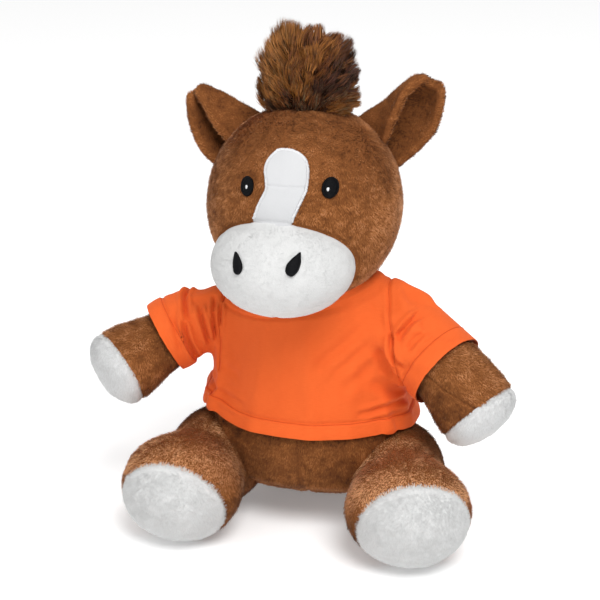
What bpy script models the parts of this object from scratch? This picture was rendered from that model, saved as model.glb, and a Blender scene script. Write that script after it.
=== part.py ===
"""Sitting plush horse with a tufted mane and a short-sleeved jersey shirt.

Millimetres in the constants, metres in the scene, +Z up. The horse faces -Y and its own left side is +X.
The origin is on the ground under the seat. Every sewn panel, every portion of stuffing and every
embroidered patch is its own closed body.
"""

import math

import bmesh
import bpy
from mathutils import Matrix, Vector

MM = 0.001
GAP = 0.3          # clearance between neighbouring pieces
FABRIC = 1.2       # thickness of the plush fabric with its pressed pile
JERSEY = 0.9       # thickness of the shirt's knitted fabric

# trunk: height, half width; then half depth as a share of the half width, and the centre's y
TRUNK = [(104.0, 12.0), (102.6, 20.5), (98.5, 29.0), (91.0, 34.2), (79.0, 37.2), (66.0, 40.0),
         (52.0, 43.6), (38.0, 46.3), (24.0, 46.4), (17.0, 44.3), (11.0, 41.0), (5.0, 35.5), (0.4, 26.0)]
TRUNK_DEPTH = [(0.4, 0.58), (5.0, 0.53), (11.0, 0.64), (17.0, 0.74), (24.0, 0.79), (46.0, 0.82), (68.0, 0.80),
               (88.0, 0.75), (104.0, 0.74)]
TRUNK_SHIFT = [(0.4, 0.0), (5.0, -0.8), (11.0, -7.2), (17.0, -13.4), (24.0, -17.3), (46.0, -19.0), (68.0, -21.5),
               (88.0, -24.0), (104.0, -26.0)]
SEAT_RX, SEAT_RY, SEAT_Y = 24.8, 13.8, 0.0
PELLET_TOP = 13.0

# head
HEAD = Vector((-0.8, -31.0, 147.3))
HEAD_R = 42.0
MUZZLE = Vector((-2.2, -61.5, 129.5))
MUZZLE_R = Vector((30.2, 31.0, 21.8))
NECK = Vector((0.0, -27.0, 104.5))
NECK_BALL = 9.0
EYE = {"left": (18.4, 16.2), "right": (-15.0, 15.2)}          # x and z from the head centre, as sewn
EYE_RX, EYE_RZ = 4.0, 4.9
NOSTRIL = {"left": (10.6, 7.8), "right": (-11.5, 6.9)}        # x and z from the muzzle centre

# arms: shoulder centre, direction of the arm, profile (distance along the arm, radius)
SHOULDER = {"left": Vector((41.2, -26.0, 95.0)), "right": Vector((-41.0, -26.0, 90.5))}
HOOF_SEAM = {"left": Vector((77.1, -43.0, 64.1)), "right": Vector((-82.9, -39.0, 66.8))}
ARM_BALL = 10.5
ARM_SEAM = 51.8
ARM = [(0.0, 10.5), (8.0, 11.7), (16.0, 12.6), (28.0, 13.6), (38.0, 15.4), (46.0, 17.2), (51.65, 17.8)]
HOOF = [(52.35, 17.75), (55.5, 16.9), (59.2, 13.0), (61.2, 7.2), (61.9, 0.0)]
SLEEVE = (8.5, 29.5)

# legs
HIP = {"left": Vector((33.5, -35.0, 25.0)), "right": Vector((-32.5, -35.0, 25.0))}
FOOT = {"left": Vector((52.6, -63.5, 23.3)), "right": Vector((-48.6, -64.5, 23.3))}
LEG_BALL = 20.5
LEG = [(0.0, 20.5), (8.0, 20.6), (15.0, 21.1), (23.0, 22.8), (32.8, 23.7), (39.0, 22.8), (43.8, 20.9)]
FOOT_CAP = [(44.5, 20.6), (49.0, 17.9), (53.6, 12.2), (56.3, 5.6), (57.0, 0.0)]
FOOT_WIDE = 1.12   # the foot is wider than it is tall
SOCKET = {"arm": 14.0, "leg": 23.4}
THIGH_ROOM = (8.0, 3.0, 25.2)   # room for the lifting thigh: along the leg, up, radius

# shirt, outer surface: height, half width
SHIRT = [(102.9, 24.2), (99.2, 31.9), (91.0, 37.2), (79.0, 40.2), (66.0, 43.1),
         (54.0, 46.0), (47.5, 48.2)]
SHIRT_ARMHOLE = 18.6

# ears: base centre from the head centre, length, widths and cup depth along the ear
EAR_BASE = {"left": Vector((34.2, 5.6, 28.0)), "right": Vector((-35.4, 5.6, 26.6))}
EAR_DIR = {"left": Vector((20.0, 2.5, 19.5)).normalized(), "right": Vector((-20.0, 2.5, 16.5)).normalized()}
EAR_LENGTH = {"left": 28.0, "right": 25.5}
EAR_HALF = [(0.0, 11.0), (0.2, 14.0), (0.45, 15.3), (0.7, 13.4), (0.88, 9.0), (1.0, 3.5)]
EAR_CUP = [(0.0, 7.5), (0.5, 6.5), (1.0, 2.0)]

# mane tuft and tail
MANE = Vector((-2.0, -25.0, 194.0))
MANE_R = Vector((20.5, 9.0, 26.5))
TAIL = Vector((0.0, 25.6, 31.0))
TAIL_DIR = Vector((0.0, 0.36, -0.93)).normalized()
TAIL_PROFILE = [(0.0, 5.4), (8.0, 6.0), (16.0, 6.8), (23.0, 6.4), (27.5, 4.0), (29.5, 0.0)]

COLOURS = {
    "plush_brown": ((0.225, 0.082, 0.030), 0.9),
    "plush_white": ((0.80, 0.80, 0.79), 0.9),
    "faux_fur": ((0.20, 0.085, 0.025), 0.85),
    "jersey_orange": ((0.95, 0.155, 0.015), 0.85),
    "thread_black": ((0.012, 0.012, 0.014), 0.5),
    "thread_white": ((0.85, 0.85, 0.84), 0.6),
    "stuffing": ((0.86, 0.86, 0.84), 0.95),
    "pellets": ((0.75, 0.76, 0.76), 0.45),
}


def table(rows, x):
    """Value of a table of (x, y) rows at x, by straight lines."""
    rows = sorted(rows)
    if x <= rows[0][0]:
        return rows[0][1]
    for (x0, y0), (x1, y1) in zip(rows, rows[1:]):
        if x <= x1:
            return y0 + (y1 - y0) * (x - x0) / (x1 - x0)
    return rows[-1][1]


def scene_collection(name):
    made = bpy.data.collections.new(name)
    bpy.context.scene.collection.children.link(made)
    return made


for old in list(bpy.data.objects):
    bpy.data.objects.remove(old, do_unlink=True)
PARTS = scene_collection("plush_horse")
CUTTERS = scene_collection("cutters")


def material(name):
    if name in bpy.data.materials:
        return bpy.data.materials[name]
    made = bpy.data.materials.new(name)
    made.use_nodes = True
    shader = made.node_tree.nodes["Principled BSDF"]
    colour, rough = COLOURS[name]
    shader.inputs["Base Color"].default_value = (*colour, 1.0)
    shader.inputs["Roughness"].default_value = rough
    shader.inputs["Metallic"].default_value = 0.0
    return made


def add(name, mesh, colour=None, collection=None):
    made = bpy.data.objects.new(name, mesh)
    (collection or PARTS).objects.link(made)
    if colour:
        mesh.materials.clear()
        mesh.materials.append(material(colour))
    return made


def evaluated_mesh(source):
    bpy.context.view_layer.update()
    graph = bpy.context.evaluated_depsgraph_get()
    return bpy.data.meshes.new_from_object(source.evaluated_get(graph))


def turned_mesh(profile, angle=360.0, steps=24):
    """Surface of revolution about Z from (radius, height) points, top first down the outer side."""
    line = bpy.data.meshes.new("profile")
    rows = bmesh.new()
    points = [rows.verts.new((r * MM, 0.0, z * MM)) for r, z in profile]
    for one, two in zip(points, points[1:]):
        rows.edges.new((one, two))
    rows.to_mesh(line)
    rows.free()
    carrier = add("profile", line, None, CUTTERS)
    screw = carrier.modifiers.new("Turn", "SCREW")
    screw.angle = math.radians(angle)
    screw.steps = screw.render_steps = steps
    screw.use_merge_vertices = True
    screw.merge_threshold = 0.00001
    made = evaluated_mesh(carrier)
    bpy.data.objects.remove(carrier, do_unlink=True)
    return made


def sphere_mesh(segments=24, rings=14):
    """Unit sphere, poles on Z."""
    made = bpy.data.meshes.new("ball")
    ball = bmesh.new()
    bmesh.ops.create_uvsphere(ball, u_segments=segments, v_segments=rings, radius=1.0)
    ball.to_mesh(made)
    ball.free()
    return made


def grid_mesh(across, along):
    """Flat grid, x and y from -1 to 1."""
    made = bpy.data.meshes.new("grid")
    grid = bmesh.new()
    bmesh.ops.create_grid(grid, x_segments=across, y_segments=along, size=1.0)
    grid.to_mesh(made)
    grid.free()
    return made


def shaped(mesh, rule):
    """Move every vertex (given in millimetres) by the rule and return the mesh."""
    for vertex in mesh.vertices:
        vertex.co = Vector(rule(Vector(vertex.co) / MM)) * MM
    return mesh


def face_out(mesh, centre=(0.0, 0.0, 0.0)):
    """Turn the faces so that they point away from the centre (millimetres)."""
    work = bmesh.new()
    work.from_mesh(mesh)
    bmesh.ops.recalc_face_normals(work, faces=work.faces)
    middle = Vector(centre) * MM
    total = sum((f.calc_center_median() - middle).dot(f.normal) * f.calc_area() for f in work.faces)
    if total < 0:
        bmesh.ops.reverse_faces(work, faces=work.faces)
    work.to_mesh(mesh)
    work.free()
    return mesh


def solidify(thing, thickness, offset=-1.0):
    shell = thing.modifiers.new("Thickness", "SOLIDIFY")
    shell.thickness = thickness * MM
    shell.offset = offset
    shell.use_even_offset = False
    return thing


def settle(thing):
    """Keep the object's modified shape as its mesh."""
    mesh = evaluated_mesh(thing)
    slots = [m for m in thing.data.materials]
    thing.modifiers.clear()
    thing.data = mesh
    mesh.materials.clear()
    for slot in slots:
        mesh.materials.append(slot)
    return thing


def keep_to(thing, side, limit=GAP / 2):
    """Push vertices back to their own side of a seam; side gives a point's distance from it and the way to move."""
    for vertex in thing.data.vertices:
        distance, way = side(Vector(vertex.co) / MM)
        if distance < limit:
            vertex.co += Vector(way) * (limit - distance) * MM
    return thing


def smooth(thing, degrees=40.0):
    thing.data.shade_smooth()
    thing.data.set_sharp_from_angle(angle=math.radians(degrees))
    return thing


def cutter(name, mesh):
    made = add(name, mesh, None, CUTTERS)
    made.hide_render = True
    made.display_type = "WIRE"
    return made


def boolean(thing, tool, operation="DIFFERENCE"):
    step = thing.modifiers.new(operation.title(), "BOOLEAN")
    step.operation = operation
    step.solver = "EXACT"
    step.object = tool
    return thing


def ball_cutter(name, centre, radius, segments=22, rings=12):
    mesh = shaped(sphere_mesh(segments, rings), lambda p: Vector(centre) + p * MM * radius)
    return cutter(name, face_out(mesh, centre))


def empty(name, location, parent=None):
    made = bpy.data.objects.new(name, None)
    made.empty_display_size = 0.01
    PARTS.objects.link(made)
    made.location = Vector(location) * MM
    if parent:
        made.parent = parent
        made.location = (Vector(location) - Vector(parent["at"])) * MM
    made["at"] = tuple(location)
    return made


def attach(thing, pivot):
    """Parent to a pivot that only moves, so the vertices stay where they are."""
    thing.parent = pivot
    at = Vector(pivot["at"]) * MM
    for vertex in thing.data.vertices:
        vertex.co -= at
    return thing


# ---------------------------------------------------------------- pivots
root = empty("body_root", (0, 0, 0))
neck_turn = empty("neck_turn_axis", NECK, root)
neck_nod = empty("neck_nod_axis", NECK, neck_turn)
swing, lift, hip_splay, hip_lift, ear_pivot = {}, {}, {}, {}, {}
for side in ("left", "right"):
    swing[side] = empty(f"arm_{side}_swing_axis", SHOULDER[side], root)
    lift[side] = empty(f"arm_{side}_raise_axis", SHOULDER[side], swing[side])
    hip_splay[side] = empty(f"leg_{side}_splay_axis", HIP[side], root)
    hip_lift[side] = empty(f"leg_{side}_lift_axis", HIP[side], hip_splay[side])
tail_pivot = empty("tail_axis", TAIL, root)

# ---------------------------------------------------------------- sockets
sockets = {}
for side in ("left", "right"):
    sockets["arm", side] = ball_cutter(f"socket_arm_{side}", SHOULDER[side], SOCKET["arm"])
    sockets["leg", side] = ball_cutter(f"socket_leg_{side}", HIP[side], SOCKET["leg"])
    forward = (FOOT[side] - HIP[side]).normalized()
    sockets["thigh", side] = ball_cutter(f"socket_thigh_{side}", HIP[side] + forward * THIGH_ROOM[0]
                                         + Vector((0, 0, THIGH_ROOM[1])), THIGH_ROOM[2], 19, 11)
    sockets["hip", side] = ball_cutter(f"socket_hip_{side}", HIP[side], SOCKET["leg"])
    boolean(sockets["hip", side], sockets["thigh", side], "UNION")
    settle(sockets["hip", side])
neck_socket = ball_cutter("socket_neck", NECK, NECK_BALL + GAP)


# ---------------------------------------------------------------- trunk
def trunk_rule(grow=0.0):
    """From a round turned shape to the trunk's oval, leaning section."""
    def rule(p):
        z = p.z
        return Vector((p.x, p.y * table(TRUNK_DEPTH, z) + table(TRUNK_SHIFT, z), z))
    return rule


def quarter(name, profile, start, colour, thickness, shift, steps=5, angle=90.0):
    mesh = turned_mesh([(r, z) for z, r in profile], angle, steps)
    turn = Matrix.Rotation(math.radians(start), 3, "Z")
    rule = trunk_rule()
    shaped(mesh, lambda p: rule(turn @ p) + Vector(shift))
    face_out(mesh, (0.0, -20.0, 55.0))
    made = settle(solidify(add(name, mesh, colour), thickness))
    for axis in (0, 1):
        if shift[axis]:
            sign = math.copysign(1.0, shift[axis])
            way = Vector((sign if axis == 0 else 0.0, sign if axis == 1 else 0.0, 0.0))
            keep_to(made, lambda p: ((p - Vector((0.0, table(TRUNK_SHIFT, p.z), 0.0))).dot(way), way))
    return smooth(made)


half = GAP / 2
for name, start, shift in (("back_panel_left", 0, (half, half, 0)), ("back_panel_right", 90, (-half, half, 0)),
                           ("belly_panel_right", 180, (-half, -half, 0)), ("belly_panel_left", 270, (half, -half, 0))):
    panel = quarter(name, TRUNK, start, "plush_brown", FABRIC, shift)
    side = name.rsplit("_", 1)[1]
    boolean(panel, sockets["arm", side])
    boolean(panel, sockets["hip", side])
    boolean(panel, neck_socket)
    attach(settle(panel), root)

seat = turned_mesh([(0.0, 1.2), (1.0, 1.2), (1.0, 0.0), (0.0, 0.0)], 360, 20)
shaped(seat, lambda p: Vector((p.x * SEAT_RX, p.y * SEAT_RY + SEAT_Y, p.z)))
attach(smooth(add("seat_panel", face_out(seat, (0, SEAT_Y, 0.6)), "plush_brown"), 30), root)

pouch_profile = [(0.0, PELLET_TOP), (16.0, PELLET_TOP - 0.3), (26.0, 11.6), (30.0, 9.4), (28.0, 6.8), (24.0, 4.0),
                 (19.5, 2.6), (0.0, 2.0)]
pouch = shaped(turned_mesh(pouch_profile, 360, 16), trunk_rule())
pouch = smooth(add("seat_pellet_pouch", face_out(pouch, (0, -4, 7)), "pellets"))
for side in ("left", "right"):
    boolean(pouch, sockets["leg", side])
attach(settle(pouch), root)

INSET = FABRIC + GAP
fill_profile = [(0.0, 102.2), (11.5, 102.2)]
# the lower front slopes, so the filling stands back further from the panels there
FILL_BACK = [(0.0, 7.0), (17.0, 6.0), (24.0, 4.0), (32.0, INSET * 1.6)]
fill_profile += [(max(r - table(FILL_BACK, z), 0.0), z - 0.4) for z, r in TRUNK[2:] if z > 15.0]
fill_profile += [(34.6, PELLET_TOP + 0.5), (0.0, PELLET_TOP + 0.5)]
fill = shaped(turned_mesh(fill_profile, 360, 20), trunk_rule())
fill = smooth(add("body_stuffing", face_out(fill, (0, -20, 55)), "stuffing"))
boolean(fill, neck_socket)
for side in ("left", "right"):
    boolean(fill, sockets["arm", side])
    boolean(fill, sockets["hip", side])
attach(settle(fill), root)

# ---------------------------------------------------------------- shirt body
armholes = {side: ball_cutter(f"armhole_{side}", SHOULDER[side], SHIRT_ARMHOLE) for side in ("left", "right")}
for name, start, shift in (("shirt_front", 180, (0, -half, 0)), ("shirt_back", 0, (0, half, 0))):
    panel = quarter(name, SHIRT, start, "jersey_orange", JERSEY, shift, 11, 180.0)
    boolean(panel, armholes["left"])
    boolean(panel, armholes["right"])
    if name == "shirt_front":
        boolean(panel, sockets["thigh", "left"])
        boolean(panel, sockets["thigh", "right"])
    attach(settle(panel), root)

band_points = [(23.2, 105.1), (24.2, 104.6), (24.3, 103.6), (23.4, 103.25), (22.4, 103.6), (22.3, 104.6), (23.2, 105.1)]
band = turned_mesh(band_points, 360, 20)
shaped(band, trunk_rule())
work = bmesh.new()
work.from_mesh(band)
bmesh.ops.remove_doubles(work, verts=work.verts, dist=0.00001)
bmesh.ops.recalc_face_normals(work, faces=work.faces)
work.to_mesh(band)
work.free()
attach(smooth(add("shirt_neck_band", band, "jersey_orange"), 60), root)

# ---------------------------------------------------------------- head
neck_fill = shaped(sphere_mesh(14, 8), lambda p: NECK + p * MM * NECK_BALL)
attach(smooth(add("neck_stuffing", face_out(neck_fill, NECK), "stuffing")), neck_turn)

head_arc = []
NECK_HOLE = math.asin(14.0 / HEAD_R)
for i in range(12):
    a = (math.pi - NECK_HOLE) * i / 11.0
    head_arc.append((HEAD_R * math.sin(a), HEAD_R * math.cos(a)))
head_arc[0] = (0.0, HEAD_R)


def muzzle_mesh(grow, segments=22, rings=12):
    mesh = sphere_mesh(segments, rings)
    # poles to the front and back, so that the nose end is evenly faced
    turn = Matrix.Rotation(math.radians(90.0), 3, "X")
    shaped(mesh, lambda p: MUZZLE + Vector([(turn @ (p * MM))[i] * (MUZZLE_R[i] + grow) for i in range(3)]))
    return face_out(mesh, MUZZLE)


muzzle_opening = cutter("muzzle_opening", muzzle_mesh(GAP))
for side, start, x in (("left", -90.0, half), ("right", 90.0, -half)):
    mesh = turned_mesh(head_arc, 180.0, 11)
    turn = Matrix.Rotation(math.radians(start), 3, "Z")
    shaped(mesh, lambda p: turn @ p + HEAD + Vector((x, 0, 0)))
    face_out(mesh, HEAD)
    panel = settle(solidify(add(f"head_panel_{side}", mesh, "plush_brown"), FABRIC))
    way = Vector((math.copysign(1.0, x), 0.0, 0.0))
    keep_to(panel, lambda p: ((p - HEAD).dot(way), way))
    boolean(panel, muzzle_opening)
    attach(smooth(settle(panel)), neck_nod)

head_fill = shaped(sphere_mesh(22, 12), lambda p: HEAD + p * MM * (HEAD_R - FABRIC - 0.9))
head_fill = add("head_stuffing", face_out(head_fill, HEAD), "stuffing")
boolean(head_fill, cutter("muzzle_core", muzzle_mesh(-FABRIC - GAP - 0.4)), "UNION")
boolean(head_fill, neck_socket)
attach(smooth(settle(head_fill)), neck_nod)

# muzzle: two upper panels meeting in the centre seam, and the chin panel below
CHIN_Z = MUZZLE.z - 11.0
skull = ball_cutter("skull", HEAD, HEAD_R - FABRIC)


def box_cutter(name, low, high):
    mesh = bpy.data.meshes.new(name)
    cube = bmesh.new()
    bmesh.ops.create_cube(cube, size=1.0)
    cube.to_mesh(mesh)
    cube.free()
    low, high = Vector(low), Vector(high)
    shaped(mesh, lambda p: Vector([low[i] + (high[i] - low[i]) * (p[i] * MM + 0.5) for i in range(3)]))
    return cutter(name, face_out(mesh, (low + high) / 2))


for name, low, high in (("muzzle_panel_left", (MUZZLE.x + half, -120, CHIN_Z + half), (60, 0, 190)),
                        ("muzzle_panel_right", (-60, -120, CHIN_Z + half), (MUZZLE.x - half, 0, 190)),
                        ("chin_panel", (-60, -120, 60), (60, 0, CHIN_Z - half))):
    panel = settle(solidify(add(name, muzzle_mesh(0.0), "plush_white"), FABRIC))
    boolean(panel, skull)
    boolean(panel, box_cutter(f"{name}_field", low, high), "INTERSECT")
    attach(smooth(settle(panel)), neck_nod)

# blaze: a strip lying on the forehead, rounded at the top
BLAZE_TOP, BLAZE_LOW = 31.0, 5.5
BLAZE_HALF = [(0.0, 8.6), (0.25, 7.6), (0.5, 8.9), (0.72, 9.5), (0.86, 8.4), (0.95, 5.8), (1.0, 3.0)]


def blaze_rule(p):
    v = (p.y * MM + 1) / 2
    z = BLAZE_LOW + (BLAZE_TOP - BLAZE_LOW) * v
    x = 0.6 + p.x * MM * table(BLAZE_HALF, v)
    r = HEAD_R + GAP + 0.1
    return HEAD + Vector((x, -math.sqrt(r * r - x * x - z * z), z))


blaze = face_out(shaped(grid_mesh(5, 9), blaze_rule), HEAD)
attach(smooth(settle(solidify(add("blaze_strip", blaze, "plush_white"), 0.8, 1.0))), neck_nod)


def patch_frame(point, normal):
    """Matrix that puts a flat patch, thin along its Z and upright along its Y, on a surface point."""
    n = Vector(normal).normalized()
    up = (Vector((0, 0, 1)) - n * n.z).normalized()
    right = up.cross(n)
    return Matrix((right, up, n)).transposed(), Vector(point)


def patch(name, centre, normal, half_x, half_y, half_z, colour, pivot, lift_by, segments=14, rings=6, rule=None):
    turn, at = patch_frame(centre, normal)
    mesh = sphere_mesh(segments, rings)
    n = Vector(normal).normalized()

    def place(p):
        q = p * MM
        q = Vector((q.x * half_x, q.y * half_y, q.z * half_z))
        if rule:
            q = rule(q)
        return turn @ q + at + n * lift_by
    shaped(mesh, place)
    made = add(name, face_out(mesh, Vector(centre) + n * lift_by), colour)
    return attach(smooth(made), pivot)


for side, s in (("left", 1.0), ("right", -1.0)):
    x, z = EYE[side]
    radial = Vector((x, -math.sqrt(HEAD_R ** 2 - x ** 2 - z ** 2), z))
    patch(f"eye_{side}", HEAD + radial, radial, EYE_RX, EYE_RZ, 0.7, "thread_black", neck_nod, 1.15)
    glint = radial + Vector((-s * 0.3, 0.0, 0.3))
    glint = glint.normalized() * HEAD_R
    patch(f"eye_highlight_{side}", HEAD + glint, radial, 0.9, 1.0, 0.35, "thread_white", neck_nod, 2.6, 8, 5)
    x, z = NOSTRIL[side]
    y = -MUZZLE_R.y * math.sqrt(1 - (x / MUZZLE_R.x) ** 2 - (z / MUZZLE_R.z) ** 2)
    normal = Vector((x / MUZZLE_R.x ** 2, y / MUZZLE_R.y ** 2, z / MUZZLE_R.z ** 2))

    def tear(q, s=s):
        # a drop, narrow at the top and leaning outwards
        narrow = 1.0 - 0.55 * max(q.y, 0.0) / 4.6
        return Vector((q.x * narrow + s * 0.22 * q.y, q.y, q.z))
    patch(f"nostril_{side}", MUZZLE + Vector((x, y, z)), normal, 2.6, 4.6, 0.55, "thread_black", neck_nod, 1.0,
          12, 6, tear)

# ears: a front and a back panel each, cupped, hinged along the sewn base
for side, s in (("left", 1.0), ("right", -1.0)):
    base = HEAD + EAR_BASE[side]
    out = EAR_DIR[side]
    across = Vector((-0.589 * s, 0.0, 0.808))
    across = (across - out * across.dot(out)).normalized()
    front = out.cross(across) if out.cross(across).y < 0 else across.cross(out)
    ear_pivot[side] = empty(f"ear_{side}_axis", base, neck_nod)
    for layer, sign in (("front", 1.0), ("back", -1.0)):
        def ear_rule(p, base=base, out=out, across=across, front=front, sign=sign, side=side):
            u = p.x * MM
            v = (p.y * MM + 1) / 2
            wide = table(EAR_HALF, v)
            cup = table(EAR_CUP, v)
            length = EAR_LENGTH[side] * v - 2.0 * (1 - v) * u * u
            return base + out * length + across * (u * wide) + front * (cup * (u * u - 0.45) + sign * half)
        mesh = shaped(grid_mesh(7, 7), ear_rule)
        middle = base + out * 12 - front * (sign * 40)
        face_out(mesh, middle)
        panel = settle(solidify(add(f"ear_{side}_{layer}_panel", mesh, "plush_brown"), FABRIC, 1.0))
        attach(smooth(panel), ear_pivot[side])

# mane tuft, sewn into the crown
tuft = shaped(sphere_mesh(16, 10), lambda p: MANE + Vector([
    math.copysign(abs(p[i] * MM) ** 0.8, p[i]) * MANE_R[i] for i in range(3)]))
tuft = add("mane_tuft", face_out(tuft, MANE), "faux_fur")
boolean(tuft, ball_cutter("crown", HEAD, HEAD_R + GAP + 0.2))
attach(smooth(settle(tuft)), neck_nod)


# ---------------------------------------------------------------- limbs
def limb_frame(start, end, lean=0.0):
    """Columns: across, up, along. The limb's own Z runs from the joint to its end."""
    along = (Vector(end) - Vector(start)).normalized()
    across = along.cross(Vector((0, 0, 1))).normalized()
    up = across.cross(along)
    made = Matrix((across, up, along)).transposed()
    return made @ Matrix.Rotation(math.radians(lean), 3, "Z")


def root_arc(radius, count=4, stop=90.0):
    """Quarter circle from the joint-side pole to the side of the ball."""
    return [(radius * math.sin(math.radians(stop * i / count)), -radius * math.cos(math.radians(stop * i / count)))
            for i in range(count)]


def limb_rule(frame, at, wide_from=None, wide_to=None, wide=1.0, tall=1.0, spin=0.0):
    def rule(p):
        s = p.z
        share = 0.0
        if wide_from is not None:
            share = min(max((s - wide_from) / (wide_to - wide_from), 0.0), 1.0)
        q = Matrix.Rotation(math.radians(spin), 3, "Z") @ p
        q = Vector((q.x * (1 + (wide - 1) * share), q.y * (1 + (tall - 1) * share), s))
        r = frame @ q + Vector(at)
        r.z = max(r.z, 0.0) if r.z < 0.6 else r.z
        return r
    return rule


def half_tube(name, profile, spin, colour, rule_args, shift, pivot, steps=7):
    mesh = turned_mesh([(r, s) for r, s in profile], 180.0, steps)
    rule = limb_rule(spin=spin, **rule_args)
    move = rule_args["frame"] @ (Matrix.Rotation(math.radians(spin), 3, "Z") @ Vector((0, shift, 0)))
    shaped(mesh, lambda p: rule(p) + move)
    middle = Vector(rule_args["at"]) + rule_args["frame"] @ Vector((0, 0, 20.0))
    face_out(mesh, middle)
    panel = settle(solidify(add(name, mesh, colour), FABRIC))
    way = (rule_args["frame"] @ (Matrix.Rotation(math.radians(spin), 3, "Z") @ Vector((0, 1, 0)))).normalized()
    keep_to(panel, lambda p: ((p - Vector(rule_args["at"])).dot(way), way), shift)
    for vertex in panel.data.vertices:
        if vertex.co.z < 0.0:
            vertex.co.z = 0.0
    return attach(smooth(panel), pivot)


def whole_turn(name, profile, colour, rule_args, pivot, steps=20, shell=None):
    mesh = turned_mesh([(r, s) for r, s in profile], 360.0, steps)
    rule = limb_rule(**rule_args)
    shaped(mesh, rule)
    middle = Vector(rule_args["at"]) + rule_args["frame"] @ Vector((0, 0, 30.0))
    face_out(mesh, middle)
    made = add(name, mesh, colour)
    if shell:
        made = settle(solidify(made, shell))
    return attach(smooth(made), pivot)


for side, s in (("left", 1.0), ("right", -1.0)):
    # arm
    frame = limb_frame(SHOULDER[side], HOOF_SEAM[side], -35.0 * s)
    args = {"frame": frame, "at": SHOULDER[side]}
    skin = root_arc(ARM_BALL) + [(r, z) for z, r in ARM]
    half_tube(f"arm_{side}_upper_panel", skin, 0.0, "plush_brown", args, half, lift[side])
    half_tube(f"arm_{side}_lower_panel", skin, 180.0, "plush_brown", args, half, lift[side])
    whole_turn(f"arm_{side}_hoof", [(r, z) for z, r in HOOF], "plush_white", args, lift[side], 14, FABRIC)
    inner = [(0.0, 9.4), (9.6, 9.4)] + [(r - INSET, z) for z, r in ARM[2:]]
    inner += [(max(r - INSET, 0.0), z - INSET) for z, r in HOOF[1:]]
    inner[-1] = (0.0, HOOF[-1][0] - INSET)
    whole_turn(f"arm_{side}_stuffing", inner, "stuffing", args, lift[side], 12)
    ball = shaped(sphere_mesh(12, 7), lambda p, side=side: SHOULDER[side] + p * MM * (ARM_BALL - INSET - 0.4))
    attach(smooth(add(f"arm_{side}_root_stuffing", face_out(ball, SHOULDER[side]), "stuffing")), swing[side])
    # sleeve: a tube of jersey round the upper arm
    rows = [SLEEVE[0] + (SLEEVE[1] - SLEEVE[0]) * i / 4.0 for i in range(5)]
    outer = [(table(ARM, z) + 0.7 + JERSEY, z) for z in rows]
    whole_turn(f"sleeve_{side}", outer, "jersey_orange", args, lift[side], 14, JERSEY)
    # leg
    frame = limb_frame(HIP[side], FOOT[side])
    args = {"frame": frame, "at": HIP[side], "wide_from": 6.0, "wide_to": 28.0, "wide": FOOT_WIDE, "tall": 0.98}
    skin = root_arc(LEG_BALL, 5) + [(r, z) for z, r in LEG]
    inner_side = 90.0 if s > 0 else -90.0
    half_tube(f"leg_{side}_inner_panel", skin, inner_side, "plush_brown", args, half, hip_lift[side], 8)
    half_tube(f"leg_{side}_outer_panel", skin, -inner_side, "plush_brown", args, half, hip_lift[side], 8)
    whole_turn(f"leg_{side}_foot_cap", [(r, z) for z, r in FOOT_CAP], "plush_white", args, hip_lift[side], 16, FABRIC)
    inner = [(0.0, LEG_BALL - INSET + 0.3), (17.0, LEG_BALL - INSET + 0.3)]
    inner += [(table(LEG, z) - INSET * 1.5, z) for z in (22.0, 28.0, 32.8, 38.0, 42.0)]
    inner += [(max(r - INSET * 1.4, 0.0), z - INSET * 1.2) for z, r in FOOT_CAP[1:]]
    inner[-1] = (0.0, FOOT_CAP[-1][0] - INSET * 1.2)
    whole_turn(f"leg_{side}_stuffing", inner, "stuffing", args, hip_lift[side], 14)
    ball = shaped(sphere_mesh(14, 8), lambda p, side=side: HIP[side] + p * MM * (LEG_BALL - INSET - 0.7))
    attach(smooth(add(f"leg_{side}_root_stuffing", face_out(ball, HIP[side]), "stuffing")), hip_splay[side])

# ---------------------------------------------------------------- tail
tail_frame = limb_frame(TAIL, TAIL + TAIL_DIR)
tail_profile = root_arc(5.4, 3) + [(r, z) for z, r in TAIL_PROFILE]
tail_profile[0] = (0.0, -5.4)
whole_turn("tail", tail_profile, "faux_fur", {"frame": tail_frame, "at": TAIL}, tail_pivot, 12)
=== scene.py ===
"""Looks of the sitting plush horse: pile, faux fur, embroidery and the jersey shirt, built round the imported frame.

Millimetres inside the helpers, metres in the scene. The horse faces -Y, its own left side is +X.
"""

import math

import bmesh
import bpy
import numpy as np
from mathutils import Matrix, Vector
from mathutils.kdtree import KDTree


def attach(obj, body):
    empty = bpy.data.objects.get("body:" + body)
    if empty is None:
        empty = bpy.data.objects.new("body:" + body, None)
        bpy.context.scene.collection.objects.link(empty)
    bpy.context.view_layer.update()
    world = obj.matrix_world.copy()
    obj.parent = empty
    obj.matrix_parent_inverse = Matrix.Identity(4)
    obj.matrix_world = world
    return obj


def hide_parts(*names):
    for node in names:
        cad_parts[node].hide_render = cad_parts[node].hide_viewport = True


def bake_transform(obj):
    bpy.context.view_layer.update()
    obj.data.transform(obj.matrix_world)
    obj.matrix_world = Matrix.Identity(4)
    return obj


MM = 0.001
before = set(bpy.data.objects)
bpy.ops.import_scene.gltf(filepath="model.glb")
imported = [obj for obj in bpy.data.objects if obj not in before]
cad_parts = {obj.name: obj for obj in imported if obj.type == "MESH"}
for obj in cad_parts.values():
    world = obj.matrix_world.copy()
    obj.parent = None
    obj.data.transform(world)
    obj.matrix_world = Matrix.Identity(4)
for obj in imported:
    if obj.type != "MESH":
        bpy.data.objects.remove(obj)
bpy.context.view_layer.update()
PILE = 1.0            # share of the pile that is built while trying things

COLLECTION = bpy.data.collections.new("plush_horse_looks")
bpy.context.scene.collection.children.link(COLLECTION)


# ------------------------------------------------------------------ numbers and noise
def vec(*xyz):
    return np.array(xyz, float)


def unit(v):
    v = np.asarray(v, float)
    return v / np.maximum(np.linalg.norm(v, axis=-1, keepdims=True), 1e-12)


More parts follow.
